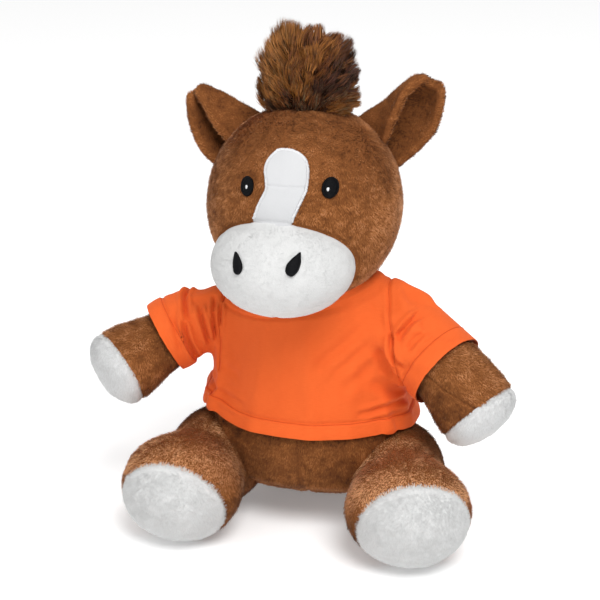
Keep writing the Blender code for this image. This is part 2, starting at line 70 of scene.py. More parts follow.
def smoothstep(a, b, x):
    t = np.clip((np.asarray(x, float) - a) / (b - a), 0.0, 1.0)
    return t * t * (3.0 - 2.0 * t)


def table(rows, x):
    """Smooth curve through (x, y) rows (monotone cubic), clamped at both ends."""
    rows = sorted(rows)
    xs = np.array([r[0] for r in rows], float)
    ys = np.array([r[1] for r in rows], float)
    d = np.diff(ys) / np.diff(xs)
    m = np.zeros(len(xs))
    m[0], m[-1] = d[0], d[-1]
    for i in range(1, len(xs) - 1):
        if d[i - 1] * d[i] > 0:
            h0, h1 = xs[i] - xs[i - 1], xs[i + 1] - xs[i]
            w0, w1 = 2 * h1 + h0, h1 + 2 * h0
            m[i] = (w0 + w1) / (w0 / d[i - 1] + w1 / d[i])
    x = np.clip(np.asarray(x, float), xs[0], xs[-1])
    k = np.clip(np.searchsorted(xs, x, side="right") - 1, 0, len(xs) - 2)
    h = xs[k + 1] - xs[k]
    t = (x - xs[k]) / h
    return (ys[k] * (2 * t ** 3 - 3 * t ** 2 + 1) + h * m[k] * (t ** 3 - 2 * t ** 2 + t)
            + ys[k + 1] * (-2 * t ** 3 + 3 * t ** 2) + h * m[k + 1] * (t ** 3 - t ** 2))


def lattice(i, j, k, seed):
    with np.errstate(over="ignore"):
        h = (i.astype(np.uint32) * np.uint32(374761393) + j.astype(np.uint32) * np.uint32(668265263)
             + k.astype(np.uint32) * np.uint32(1274126177) + np.uint32(seed * 974711 + 12345))
        h = (h ^ (h >> np.uint32(13))) * np.uint32(1274126177)
        h = (h ^ (h >> np.uint32(15))) * np.uint32(2246822519)
        h = h ^ (h >> np.uint32(16))
    return h.astype(float) / 4294967295.0


def noise(p, size, seed=0):
    """Value noise from -1 to 1 at points p (mm), with features about size mm wide."""
    q = np.asarray(p, float) / size + 1000.0
    f = np.floor(q)
    t = q - f
    t = t * t * (3 - 2 * t)
    i, j, k = (f[..., a].astype(np.int64) for a in range(3))
    total = 0.0
    for a in (0, 1):
        for b in (0, 1):
            for c in (0, 1):
                w = ((t[..., 0] if a else 1 - t[..., 0]) * (t[..., 1] if b else 1 - t[..., 1])
                     * (t[..., 2] if c else 1 - t[..., 2]))
                total = total + w * lattice(i + a, j + b, k + c, seed)
    return total * 2.0 - 1.0


def noise_vec(p, size, seed=0):
    return np.stack([noise(p, size, seed + 11 * a) for a in range(3)], -1)


def bump(x, centre, width):
    return np.exp(-((x - centre) / width) ** 2)


# ------------------------------------------------------------------ meshes
def add_object(name, mesh, materials=()):
    made = bpy.data.objects.new(name, mesh)
    COLLECTION.objects.link(made)
    for m in materials:
        mesh.materials.append(m)
    return made


def mesh_from(name, points_mm, faces, smooth=True):
    """Mesh from an array of points (mm) and an array of equal-sized faces."""
    made = bpy.data.meshes.new(name)
    faces = np.asarray(faces, np.int32)
    n, k = faces.shape
    made.vertices.add(len(points_mm))
    made.vertices.foreach_set("co", (np.asarray(points_mm, float) * MM).astype(np.float32).ravel())
    made.loops.add(n * k)
    made.loops.foreach_set("vertex_index", faces.ravel())
    made.polygons.add(n)
    made.polygons.foreach_set("loop_start", np.arange(n, dtype=np.int32) * k)
    made.polygons.foreach_set("loop_total", np.full(n, k, np.int32))
    if smooth:
        made.polygons.foreach_set("use_smooth", np.ones(n, bool))
    made.update(calc_edges=True)
    made.validate()
    return made


def co_of(mesh):
    co = np.empty(len(mesh.vertices) * 3, np.float32)
    mesh.vertices.foreach_get("co", co)
    return co.reshape(-1, 3).astype(float) / MM


def tris_of(mesh):
    mesh.calc_loop_triangles()
    t = np.empty(len(mesh.loop_triangles) * 3, np.int32)
    mesh.loop_triangles.foreach_get("vertices", t)
    return t.reshape(-1, 3)


def vertex_normals(co, tris):
    n = np.zeros_like(co)
    a, b, c = co[tris[:, 0]], co[tris[:, 1]], co[tris[:, 2]]
    f = np.cross(b - a, c - a)
    for k in range(3):
        np.add.at(n, tris[:, k], f)
    return unit(n)


def ball_directions(level):
    """Points and triangles of a finely divided icosahedron."""
    made = bmesh.new()
    bmesh.ops.create_icosphere(made, subdivisions=level, radius=1.0)
    pts = np.array([v.co[:] for v in made.verts], float)
    tri = np.array([[v.index for v in f.verts] for f in made.faces], np.int32)
    made.free()
    return unit(pts), tri


def star_surface(centre, directions, field, reach=90.0, steps=40):
    """First crossing of field(p) = 0 along each direction from a centre inside the form, by bisection."""
    lo = np.zeros(len(directions))
    hi = np.full(len(directions), reach)
    for _ in range(steps):
        mid = (lo + hi) / 2
        inside = field(centre + directions * mid[:, None]) < 0
        lo = np.where(inside, mid, lo)
        hi = np.where(inside, hi, mid)
    return centre + directions * ((lo + hi) / 2)[:, None]


def ellipsoid(p, centre, radii):
    q = (p - centre) / radii
    k0 = np.linalg.norm(q, axis=-1)
    k1 = np.linalg.norm(q / radii, axis=-1)
    return k0 * (k0 - 1.0) / np.maximum(k1, 1e-9)


def gradient(field, p, eps=0.2):
    g = np.stack([field(p + vec(*e) * eps) - field(p - vec(*e) * eps) for e in np.eye(3)], -1) / (2 * eps)
    return g


def onto(field, p, times=3):
    for _ in range(times):
        g = gradient(field, p)
        size = np.maximum((g * g).sum(-1, keepdims=True), 1e-3)
        p = p - g / size * np.clip(field(p), -4, 4)[:, None]
    return p


def soft_min(a, b, k):
    h = np.clip(0.5 + 0.5 * (b - a) / k, 0, 1)
    return b * (1 - h) + a * h - k * h * (1 - h)


def tube_faces(around, along, close_start=True, close_end=True):
    """Quads of a closed-round grid, row by row, as triangles with the two poles (last two points)."""
    i, j = np.meshgrid(np.arange(along - 1), np.arange(around), indexing="ij")
    a = i * around + j
    b = i * around + (j + 1) % around
    c = (i + 1) * around + (j + 1) % around
    d = (i + 1) * around + j
    faces = [np.stack([a, b, c], -1).reshape(-1, 3), np.stack([a, c, d], -1).reshape(-1, 3)]
    j = np.arange(around)
    pole = around * along
    if close_start:
        faces.append(np.stack([np.full(around, pole), (j + 1) % around, j], -1))
    if close_end:
        last = (along - 1) * around
        faces.append(np.stack([np.full(around, pole + 1), last + j, last + (j + 1) % around], -1))
    return np.concatenate(faces)


# ------------------------------------------------------------------ materials
def node_material(name, colour, rough=0.85, sheen=0.0, sheen_tint=(1, 1, 1), sheen_rough=0.4, specular=0.3):
    made = bpy.data.materials.new(name)
    made.use_nodes = True
    shader = made.node_tree.nodes["Principled BSDF"]
    shader.inputs["Base Color"].default_value = (*colour, 1.0)
    shader.inputs["Roughness"].default_value = rough
    shader.inputs["Metallic"].default_value = 0.0
    shader.inputs["Specular IOR Level"].default_value = specular
    shader.inputs["Sheen Weight"].default_value = sheen
    shader.inputs["Sheen Roughness"].default_value = sheen_rough
    shader.inputs["Sheen Tint"].default_value = (*sheen_tint, 1.0)
    return made


def mottled(name, colours, sizes=(6.0, 0.9), weights=(0.6, 0.4), contrast=1.6, bump_mm=0.0, **rest):
    """Colour that wanders between several shades at two scales, as a brushed pile does."""
    made = node_material(name, colours[len(colours) // 2], **rest)
    nodes, links = made.node_tree.nodes, made.node_tree.links
    shader = nodes["Principled BSDF"]
    where = nodes.new("ShaderNodeTexCoord")
    total = None
    for size, weight in zip(sizes, weights):
        n = nodes.new("ShaderNodeTexNoise")
        n.inputs["Scale"].default_value = 1000.0 / size
        n.inputs["Detail"].default_value = 2.0
        links.new(where.outputs["Object"], n.inputs["Vector"])
        m = nodes.new("ShaderNodeMath")
        m.operation = "MULTIPLY_ADD"
        links.new(n.outputs["Fac"], m.inputs[0])
        m.inputs[1].default_value = weight * contrast
        m.inputs[2].default_value = -0.5 * weight * contrast
        if total is None:
            total = m
        else:
            s = nodes.new("ShaderNodeMath")
            links.new(total.outputs[0], s.inputs[0])
            links.new(m.outputs[0], s.inputs[1])
            total = s
    shift = nodes.new("ShaderNodeMath")
    links.new(total.outputs[0], shift.inputs[0])
    shift.inputs[1].default_value = 0.5
    shift.use_clamp = True
    ramp = nodes.new("ShaderNodeValToRGB")
    links.new(shift.outputs[0], ramp.inputs["Fac"])
    while len(ramp.color_ramp.elements) < len(colours):
        ramp.color_ramp.elements.new(0.5)
    for k, c in enumerate(colours):
        ramp.color_ramp.elements[k].position = k / (len(colours) - 1)
        ramp.color_ramp.elements[k].color = (*c, 1.0)
    links.new(ramp.outputs["Color"], shader.inputs["Base Color"])
    if bump_mm:
        b = nodes.new("ShaderNodeBump")
        b.inputs["Distance"].default_value = bump_mm * MM
        b.inputs["Strength"].default_value = 0.6
        links.new(total.outputs[0], b.inputs["Height"])
        links.new(b.outputs["Normal"], shader.inputs["Normal"])
    return made


# five lit and shaded copies of the brown pile, painted light from deep shade to full light; each blade takes one by its
# painted light value
BROWN_PAINTED_LIGHT_STEPS = [mottled(f"brown_pile_light_step_{k}", shades, sizes=(3.2, 0.9), weights=(0.45, 0.55), contrast=1.9, rough=0.9, sheen=amount,
                  sheen_tint=(1.0, 0.66, 0.45), sheen_rough=0.45, specular=0.2)
          for k, (amount, shades) in enumerate([
              (0.10, [(0.040, 0.012, 0.004), (0.080, 0.024, 0.007), (0.120, 0.040, 0.012)]),
              (0.20, [(0.085, 0.026, 0.006), (0.165, 0.053, 0.013), (0.235, 0.083, 0.023)]),
              (0.30, [(0.150, 0.047, 0.011), (0.270, 0.094, 0.024), (0.370, 0.138, 0.041)]),
              (0.40, [(0.225, 0.077, 0.020), (0.365, 0.136, 0.041), (0.475, 0.192, 0.070)]),
              (0.50, [(0.320, 0.120, 0.038), (0.480, 0.198, 0.074), (0.600, 0.275, 0.118)])])]
# two more, brighter lit copies, so that the leg tops can be painted lighter as if lit from above
BROWN_PAINTED_LIGHT_STEPS_BRIGHTER = BROWN_PAINTED_LIGHT_STEPS + [
    mottled(f"brown_pile_light_step_{k}", shades, sizes=(3.2, 0.9), weights=(0.45, 0.55), contrast=1.9, rough=0.9, sheen=amount,
            sheen_tint=(1.0, 0.66, 0.45), sheen_rough=0.45, specular=0.2)
    for k, amount, shades in ((5, 0.55, [(0.430, 0.178, 0.066), (0.610, 0.276, 0.116), (0.740, 0.372, 0.174)]),
                              (6, 0.60, [(0.560, 0.255, 0.105), (0.740, 0.370, 0.170), (0.860, 0.480, 0.245)]))]
BROWN_BASE = mottled("brown_ground", [(0.145, 0.047, 0.013), (0.225, 0.079, 0.024)], sizes=(5.0, 0.7), rough=0.95,
                     bump_mm=0.4, specular=0.1)
WHITE = mottled("white_pile", [(0.585, 0.588, 0.583), (0.615, 0.620, 0.615), (0.645, 0.648, 0.645)], sizes=(7.0, 1.2),
                rough=0.9, sheen=0.12, sheen_rough=0.5, specular=0.12)
WHITE_HOOF = mottled("white_pile_hooves", [(0.63, 0.632, 0.632), (0.66, 0.664, 0.664), (0.69, 0.694, 0.695)],
                     sizes=(7.0, 1.2), rough=0.9, sheen=0.15, sheen_rough=0.5, specular=0.2)
# a darker copy of the white pile: painted shade for the blades in the muzzle's seam grooves
WHITE_SEAM_SHADE = mottled("white_pile_painted_seam_shade", [(0.43, 0.435, 0.43), (0.50, 0.505, 0.50)], sizes=(5.0, 1.0), rough=0.95,
                    specular=0.1)
WHITE_BASE = mottled("white_ground", [(0.55, 0.55, 0.545), (0.60, 0.60, 0.595)], sizes=(5.0, 0.7), rough=0.95,
                     bump_mm=0.3, specular=0.1)


def scatter(co, tris, normals, density, rng, keep=None):
    """Random points, normals and triangle numbers, density per square mm times keep (one share per triangle)."""
    a, b, c = co[tris[:, 0]], co[tris[:, 1]], co[tris[:, 2]]
    area = np.linalg.norm(np.cross(b - a, c - a), axis=1) / 2
    want = area * density * (1.0 if keep is None else keep)
    total = want.sum()
    count = int(total)
    face = np.searchsorted(np.cumsum(want) / max(total, 1e-9), rng.random(count))
    face = np.minimum(face, len(tris) - 1)
    u, v = rng.random(count), rng.random(count)
    flip = u + v > 1
    u[flip], v[flip] = 1 - u[flip], 1 - v[flip]
    w = 1 - u - v
    p = a[face] * w[:, None] + b[face] * u[:, None] + c[face] * v[:, None]
    n = unit(normals[tris[face, 0]] * w[:, None] + normals[tris[face, 1]] * u[:, None]
             + normals[tris[face, 2]] * v[:, None])
    return p, n, face


def sphere_map(p, centre):
    """Longitude and latitude of points round a centre, each from 0 to 1."""
    d = unit(p - centre)
    return np.stack([np.arctan2(d[:, 1], d[:, 0]) / (2 * np.pi) + 0.5, np.arccos(np.clip(d[:, 2], -1, 1)) / np.pi], -1)


def pile(name, p, n, comb, material, length=1.25, width=0.29, lean=1.15, wild=0.24, seed=1, sink=0.15, map_centre=None,
         vary=0.3, swirl=(9.0, 0.35), fringe=None, skin=0.85, bend=0.3, shade=None):
    """Short pile: one tapering blade a root, leaning along comb, turned by noise so that it lies in patches.

    p, n: roots and surface normals; comb: tangent direction of each; lean: blade's slope (tangent over normal);
    shade: which of the materials each blade takes, as a number between two of them.
    """
    rng = np.random.default_rng(seed)
    count = len(p)
    comb = unit(comb - n * (comb * n).sum(-1, keepdims=True))
    side = np.cross(n, comb)
    turn = noise(p, swirl[0], seed + 3) * swirl[1] * 2.0 + noise(p, 2.3, seed + 5) * 0.55
    tang = comb * np.cos(turn)[:, None] + side * np.sin(turn)[:, None]
    slope = lean * (1 + 0.35 * noise(p, 3.4, seed + 7)) + 0.12 * rng.standard_normal(count)
    d = unit(n + tang * np.maximum(slope, 0.05)[:, None] + rng.standard_normal((count, 3)) * wild)
    up = (d * n).sum(-1)
    d = unit(d + n * np.maximum(0.12 - up, 0)[:, None])
    b = unit(np.cross(n, d) + rng.standard_normal((count, 3)) * 0.15)
    long = length * (1 - vary + 2 * vary * rng.random(count)) * (1 + 0.16 * noise(p, 2.8, seed + 9))
    if fringe is not None:
        long = long * fringe
    wide = width * (0.7 + 0.6 * rng.random(count)) * 1.0
    root = p - n * sink
    tip = root + (unit(d + tang * bend) * long[:, None])
    pts = np.empty((count, 4, 3))
    pts[:, 0] = root - b * (wide / 2)[:, None]
    pts[:, 1] = root + b * (wide / 2)[:, None]
    pts[:, 2] = tip + b * (wide * 0.14)[:, None]
    pts[:, 3] = tip - b * (wide * 0.14)[:, None]
    base = np.arange(count)[:, None] * 4
    faces = np.concatenate([base + np.array([[0, 1, 2]]), base + np.array([[0, 2, 3]])], 1).reshape(-1, 3)
    g = np.cross(pts[:, 1] - pts[:, 0], pts[:, 2] - pts[:, 0])
    away = (g * n).sum(-1) < 0
    flat = faces.reshape(count, 2, 3)
    flat[away] = flat[away][:, :, ::-1]
    mesh = mesh_from(name, pts.reshape(-1, 3), flat.reshape(-1, 3))
    # shading normals between the blade's own and the skin's, so that the pile shades as one soft surface
    own = unit(np.where(away[:, None], -g, g))
    soft = unit(n * skin + own * (1.2 - skin) + d * 0.12)
    mesh.normals_split_custom_set_from_vertices(np.repeat(soft, 4, axis=0).astype(np.float32))
    where = sphere_map(p, p.mean(0) if map_centre is None else map_centre)
    uv = np.repeat(where[:, None, :], 4, axis=1)
    uv[:, :, 0] += np.array([-1, 1, 1, -1]) * 0.0006
    uv[:, :, 1] += np.array([-1, -1, 1, 1]) * 0.0008
    uv = np.clip(uv, 0.0, 1.0).reshape(-1, 2)
    layer = mesh.uv_layers.new(name="OFBake")
    loops = np.empty(len(mesh.loops), np.int32)
    mesh.loops.foreach_get("vertex_index", loops)
    layer.data.foreach_set("uv", uv[loops].astype(np.float32).ravel())
    made = add_object(name, mesh, material if isinstance(material, list) else [material])
    if shade is not None:
        chosen = np.clip(np.floor(shade + rng.random(count)), 0, len(material) - 1).astype(np.int32)
        mesh.polygons.foreach_set("material_index", np.repeat(chosen, 2))
    return made


def nap(p, seed=0, amount=1.0):
    """How the pile lies lighter and darker in patches, about -1 to 1."""
    fine = 0.75 * noise(p * vec(0.7, 0.7, 1.3), 1.9, 303 + seed) + 0.55 * noise(p * vec(0.6, 0.6, 1.5), 1.1, 304 + seed)
    return amount * (0.45 * noise(p, 10.0, 301 + seed) + 0.50 * noise(p, 4.2, 302 + seed) + fine)


def down_comb(n, way=(0, 0, -1)):
    way = np.broadcast_to(np.asarray(way, float), n.shape)
    return way - n * (way * n).sum(-1, keepdims=True) + 1e-4


# ------------------------------------------------------------------ head and muzzle
HEAD = vec(-0.8, -31.0, 147.3)
HEAD_R = 41.0
MUZZLE = vec(-2.2, -61.5, 129.5)
MUZZLE_R = vec(29.6, 30.4, 21.2)
PILE_H = 0.8

DIRS, DIR_TRIS = ball_directions(6)


def skull_field(p):
    d = unit(p - HEAD)
    r = HEAD_R + 1.3 * np.exp(-((d - unit(vec(0.72, -0.40, -0.57))) ** 2).sum(-1) / 0.16)
    r = r + 0.6 * np.exp(-((d - unit(vec(-0.72, -0.45, -0.50))) ** 2).sum(-1) / 0.16)
    r = r - 0.9 * np.exp(-((d - unit(vec(0.0, 0.1, 1.0))) ** 2).sum(-1) / 0.12)
    return np.linalg.norm(p - HEAD, axis=-1) - r


def muzzle_field(p):
    return ellipsoid(p, MUZZLE, MUZZLE_R)


def muzzle_seams(p, wide=0.75):
    """1 on the muzzle's centre seam and on the chin seam below it, falling to 0 beside them."""
    q = p - MUZZLE
    upright = bump(q[:, 0] - 0.6 + 0.01 * q[:, 2], 0.0, wide) * smoothstep(15.5, 12.0, q[:, 2])
    return np.maximum(upright, bump(q[:, 2] + 13.6 - 0.004 * q[:, 0] ** 2, 0.0, wide))


def head_field(p):
    a, b = skull_field(p), muzzle_field(p)
    f = soft_min(a, b, 1.6)
    joined = smoothstep(10.5, 7.5, np.abs(p[..., 0] - HEAD[0] + 3.4)) * smoothstep(-60.0, -66.0, p[..., 1])
    f = f + 0.75 * (1 - 0.85 * joined) * bump(a - b, 0.0, 1.3) * smoothstep(4.0, 1.0, np.abs(a))
    on_muzzle = smoothstep(0.5, 3.0, a - b)
    q = p - MUZZLE
    # centre seam and chin seam of the muzzle
    f = f + 0.55 * bump(q[:, 0] - 0.6 + 0.01 * q[:, 2], 0.0, 0.75) * on_muzzle * smoothstep(15.5, 12.0, q[:, 2])
    f = f + 0.40 * bump(q[:, 2] + 13.6 - 0.004 * q[:, 0] ** 2, 0.0, 0.8) * on_muzzle
    return f + 0.22 * noise(p, 14.0, 5)


START = vec(-1.2, -42.0, 140.5)
head_co = star_surface(START, DIRS, head_field)


def sharp_border(co, tris, chosen, border, surface):
    """Slide the points where the chosen triangles meet the others onto border = 0, along the surface."""
    shared = np.intersect1d(tris[chosen], tris[~chosen])
    q = co[shared]
    for _ in range(3):
        n = unit(gradient(surface, q))
        g = gradient(border, q)
        g = g - n * (g * n).sum(-1, keepdims=True)
        step = -g / np.maximum((g * g).sum(-1, keepdims=True), 1e-3) * border(q)[:, None]
        size = np.linalg.norm(step, axis=-1, keepdims=True)
        q = onto(surface, q + step * np.minimum(1.0, 0.7 / np.maximum(size, 1e-6)), 2)
    co = co.copy()
    co[shared] = q
    return co


def muzzle_border(p):
    return muzzle_field(p) - skull_field(p)


is_white = muzzle_border(head_co)[DIR_TRIS].mean(1) < 0
head_co = sharp_border(head_co, DIR_TRIS, is_white, muzzle_border, head_field)
head_n = vertex_normals(head_co, DIR_TRIS)


def sub_mesh(name, co, tris, keep, materials):
    used = np.unique(tris[keep])
    index = np.full(len(co), -1)
    index[used] = np.arange(len(used))
    made = add_object(name, mesh_from(name, co[used], index[tris[keep]]), materials)
    return made


# ------------------------------------------------------------------ face: blaze, eyes, nostrils
def front_y(x, z):
    """y of the head's front at x, z (mm), by bisection along the view from the front."""
    near, far = np.full(len(x), -40.0), np.full(len(x), -110.0)
    for _ in range(26):
        mid_y = (near + far) / 2
        inside = head_field(np.stack([x, mid_y, z], -1)) < 0
        near, far = np.where(inside, mid_y, near), np.where(inside, far, mid_y)
    return (near + far) / 2


def on_face(xz):
    """Points and outward normals of the head's surface at x, z pairs."""
    xz = np.asarray(xz, float)
    flat = xz.reshape(-1, 2)
    p = np.stack([flat[:, 0], front_y(flat[:, 0], flat[:, 1]), flat[:, 1]], -1)
    n = unit(np.stack([head_field(p + vec(*e) * 0.4) - head_field(p - vec(*e) * 0.4) for e in np.eye(3)], -1))
    return p.reshape(*xz.shape[:-1], 3), n.reshape(*xz.shape[:-1], 3)


def tubes(name, lines, radius, material, sides=6, flatten=None):
    """Threads: one closed round tube along each row of points. lines: (count, points, 3); radius: (count, points)."""
    count, long = lines.shape[:2]
    along = unit(np.gradient(lines, axis=1))
    ref = np.where(np.abs(along[..., 2:]) > 0.9, vec(1, 0, 0), vec(0, 0, 1)) if flatten is None else flatten
    a = unit(np.cross(along, ref))
    b = np.cross(along, a)
    th = np.arange(sides) * 2 * np.pi / sides
    ring = (a[:, :, None, :] * np.cos(th)[None, None, :, None] + b[:, :, None, :] * np.sin(th)[None, None, :, None])
    pts = lines[:, :, None, :] + ring * radius[:, :, None, None]
    pts = np.concatenate([pts.reshape(count, -1, 3), lines[:, :1], lines[:, -1:]], 1)
    f = tube_faces(sides, long)
    per = sides * long + 2
    all_faces = (np.arange(count)[:, None, None] * per + f[None]).reshape(-1, 3)
    flat = pts.reshape(-1, 3)
    n = vertex_normals(flat, all_faces)
    if (n[:sides] * (flat[:sides] - lines[0, 0])).sum() < 0:
        all_faces = all_faces[:, ::-1]
    return add_object(name, mesh_from(name, flat, all_faces), [material])


def satin(name, starts, ends, material, height, radius, lift=0.2, seed=1, points=9, sink=0.5):
    """Satin stitches: threads laid side by side from start to end (x, z pairs), domed by height."""
    rng = np.random.default_rng(seed)
    starts, ends = np.asarray(starts, float), np.asarray(ends, float)
    t = np.linspace(0, 1, points)
    xz = starts[:, None] * (1 - t)[None, :, None] + ends[:, None] * t[None, :, None]
    p, n = on_face(xz)
    long = np.linalg.norm(ends - starts, axis=1)
    top = np.minimum(height, 0.45 * long)
    dome = np.sin(np.pi * np.clip(t, 0, 1)) ** 0.45
    up = lift + top[:, None] * dome[None, :] - sink * (1 - dome[None, :])
    up = up + 0.05 * rng.standard_normal(len(starts))[:, None]
    lines = p + n * up[..., None]
    r = np.full(up.shape, radius) * (0.92 + 0.16 * rng.random(len(starts)))[:, None]
    return tubes(name, lines, r, material, flatten=n)


def outline_rows(outline, pitch, vertical=True):
    """Chords of a closed outline (x, z), one every pitch, across x (vertical=True steps along z)."""
    outline = np.asarray(outline, float)
    axis = 1 if vertical else 0
    low, high = outline[:, axis].min(), outline[:, axis].max()
    rows = np.arange(low + pitch * 0.4, high, pitch)
    a, b = outline, np.roll(outline, -1, axis=0)
    starts, ends = [], []
    for r in rows:
        cross = (a[:, axis] - r) * (b[:, axis] - r) < 0
        t = (r - a[cross, axis]) / (b[cross, axis] - a[cross, axis])
        other = a[cross, 1 - axis] + t * (b[cross, 1 - axis] - a[cross, 1 - axis])
        if len(other) < 2:
            continue
        lo, hi = other.min(), other.max()
        starts.append((lo, r) if axis == 1 else (r, lo))
        ends.append((hi, r) if axis == 1 else (r, hi))
    return np.array(starts), np.array(ends)


def smooth_outline(points, count=72):
    """Closed Catmull-Rom curve through points."""
    pts = np.asarray(points, float)
    out = []
    k = len(pts)
    for i in range(k):
        p0, p1, p2, p3 = pts[i - 1], pts[i], pts[(i + 1) % k], pts[(i + 2) % k]
        for t in np.linspace(0, 1, max(2, count // k), endpoint=False):
            out.append(0.5 * (2 * p1 + (p2 - p0) * t + (2 * p0 - 5 * p1 + 4 * p2 - p3) * t * t
                              + (3 * p1 - p0 - 3 * p2 + p3) * t ** 3))
    return np.array(out)


def inside_outline(xz, outline):
    x, z = xz[:, 0], xz[:, 1]
    a, b = outline, np.roll(outline, -1, axis=0)
    hit = np.zeros(len(x), bool)
    for (x0, z0), (x1, z1) in zip(a, b):
        cross = ((z0 > z) != (z1 > z))
        at = x0 + (z - z0) / np.where(z1 == z0, 1e-9, z1 - z0) * (x1 - x0)
        hit ^= cross & (x < at)
    return hit


HX, HZ = HEAD[0], HEAD[2]
# the blaze's two sides from its top down to the muzzle (x, z from the head's centre)
BLAZE_Z = [30.6, 30.2, 28.2, 25.9, 23.5, 20.7, 18.0, 15.0, 12.2, 9.1, 5.2, 1.2, -2.0]
BLAZE_L = [(29.2, -0.6), (28.8, -3.6), (27.0, -5.8), (25.3, -7.1), (23.2, -8.0), (20.7, -7.9), (18.0, -7.1), (15.0, -6.6),
           (12.2, -7.7), (9.1, -9.2), (5.2, -10.6), (1.8, -11.7), (-3.0, -12.6)]
BLAZE_R = [(29.2, 0.6), (28.8, 2.8), (28.1, 4.8), (27.1, 6.6), (25.9, 8.0), (23.4, 9.3), (20.6, 9.8), (17.8, 9.8),
           (15.0, 9.6), (11.5, 8.3), (7.9, 6.7), (3.0, 4.9), (-3.0, 3.6)]


def blaze_side(rows, z):
    return table([(a, b) for a, b in rows], z)


BLAZE_OUTLINE = np.array([(HX + x, HZ + z) for z, x in BLAZE_L] + [(HX + x, HZ + z) for z, x in reversed(BLAZE_R)])
BLAZE_OUTLINE = BLAZE_OUTLINE[BLAZE_OUTLINE[:, 1] > HZ + 1.0]
EYE = {"left": (vec(18.3, 15.85), 2.75, 3.55, 0.10), "right": (vec(-14.85, 14.8), 2.50, 3.30, -0.04)}
NOSTRIL = {"left": [(12.2, 11.9), (12.8, 10.1), (13.0, 8.3), (12.3, 5.9), (10.3, 4.3), (8.2, 5.6), (8.0, 8.0), (9.3, 9.9),
                    (10.9, 11.2)],
           "right": [(-13.2, 10.5), (-11.5, 9.5), (-9.6, 7.2), (-9.5, 5.0), (-11.0, 3.4), (-12.9, 4.1), (-13.7, 6.2),
                     (-13.8, 8.5)]}
BLACK_THREAD = mottled("black_thread", [(0.002, 0.002, 0.003), (0.007, 0.007, 0.008)], sizes=(2.5, 0.4), rough=0.55,
                       specular=0.09)
WHITE_THREAD = mottled("white_thread", [(0.63, 0.63, 0.64), (0.70, 0.70, 0.71)], sizes=(2.0, 0.3), rough=0.5,
                       specular=0.4, sheen=0.1)
BLAZE_CLOTH = mottled("blaze_cloth", [(0.49, 0.493, 0.502), (0.52, 0.523, 0.532), (0.545, 0.548, 0.556)], sizes=(9.0, 0.5),
                      rough=0.85, specular=0.2, bump_mm=0.12, sheen=0.1)


def eye_outline(side):
    c, rx, rz, tilt = EYE[side]
    th = np.linspace(0, 2 * np.pi, 48, endpoint=False)
    x, z = rx * np.cos(th), rz * np.sin(th) * (1 - 0.04 * np.cos(th))
    return np.stack([HX + c[0] + x * math.cos(tilt) - z * math.sin(tilt),
                     HZ + c[1] + x * math.sin(tilt) + z * math.cos(tilt)], -1)


def covered(p):
    """Where the face's embroidery and the blaze take the place of the pile."""
    xz = p[:, [0, 2]]
    ahead = p[:, 1] < -50
    hit = inside_outline(xz, BLAZE_OUTLINE)
    for side in ("left", "right"):
        hit |= inside_outline(xz, eye_outline(side))
        hole = np.array(NOSTRIL[side])
        hole = hole + unit(hole - hole.mean(0)) * 0.35 + vec(0.0, 0.25)
        hit |= inside_outline(xz, hole + vec(MUZZLE[0], MUZZLE[2]))
    return hit & ahead


head_skin = sub_mesh("head_fabric", head_co, DIR_TRIS, ~is_white, [BROWN_BASE])
muzzle_skin = sub_mesh("muzzle_fabric", head_co, DIR_TRIS, is_white, [WHITE_BASE])
rng = np.random.default_rng(7)
head_mid = head_co[DIR_TRIS].mean(1)
bare = covered(head_mid)
p, n, f = scatter(head_co, DIR_TRIS, head_n, 5.5 * PILE, rng, (~is_white & ~bare).astype(float))
d = unit(p - HEAD)
comb = down_comb(n) + 0.6 * np.cross(n, vec(0, 1, 0)) * np.sign(p[:, :1] - HEAD[0])
# painted light on the head's pile: the horse's left cheek painted lighter as if lit, the crown under the mane and a
# thin line along the muzzle's border painted darker as shadow; the nap's patches are random
lit = 2.0 + nap(p, 1, 1.45) + 0.55 * smoothstep(8, 34, p[:, 0]) * smoothstep(172, 150, p[:, 2]) * smoothstep(-20, -45, p[:, 1])
lit = lit + 0.30 - 0.45 * smoothstep(176, 186, p[:, 2]) - 1.1 * bump(muzzle_field(p), 0.9, 0.7)
near_muzzle = smoothstep(2.6, 0.8, muzzle_field(p))
head_pile = pile("head_pile", p, n, comb, BROWN_PAINTED_LIGHT_STEPS, seed=11, map_centre=HEAD, skin=0.70, shade=lit,
                 fringe=1.0 - 0.55 * near_muzzle)
p, n, f = scatter(head_co, DIR_TRIS, head_n, 5.5 * PILE, rng, (is_white & ~bare).astype(float))
# the blades on the muzzle's seams take the darker copy, as painted shade in the seam grooves
muzzle_pile = pile("muzzle_pile", p, n, down_comb(n) + 1e-3, [WHITE_SEAM_SHADE, WHITE], length=0.75, lean=1.9, wild=0.09, seed=12,
                   map_centre=MUZZLE, skin=1.08, swirl=(14.0, 0.15), vary=0.15,
                   shade=1.0 - 0.55 * muzzle_seams(p, 0.5),
                   fringe=(1.0 - 0.45 * muzzle_seams(p, 0.6)) * (1.0 - 0.4 * smoothstep(2.5, 0.8, skull_field(p))))
for piece in (head_skin, head_pile, muzzle_skin, muzzle_pile):
    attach(piece, "head")
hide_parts("head_panel_left", "head_panel_right", "head_stuffing", "neck_stuffing")
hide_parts("muzzle_panel_left", "muzzle_panel_right", "chin_panel")

# The plane of each armhole, and how far beyond it, in mm, each sleeve is parted into a top piece and the piece after
# it.
ARMHOLE = {"left": (vec(40.6, -30.0, 90.0), unit(vec(0.981, 0.0, 0.195))),
           "right": (vec(-37.0, -30.0, 90.0), unit(vec(-1.0, 0.0, 0.03)))}
MIDWAY = {"left": 6.5, "right": 6.0}


def bend_with_arm(made, side):
    at, no = ARMHOLE[side]
    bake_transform(made)


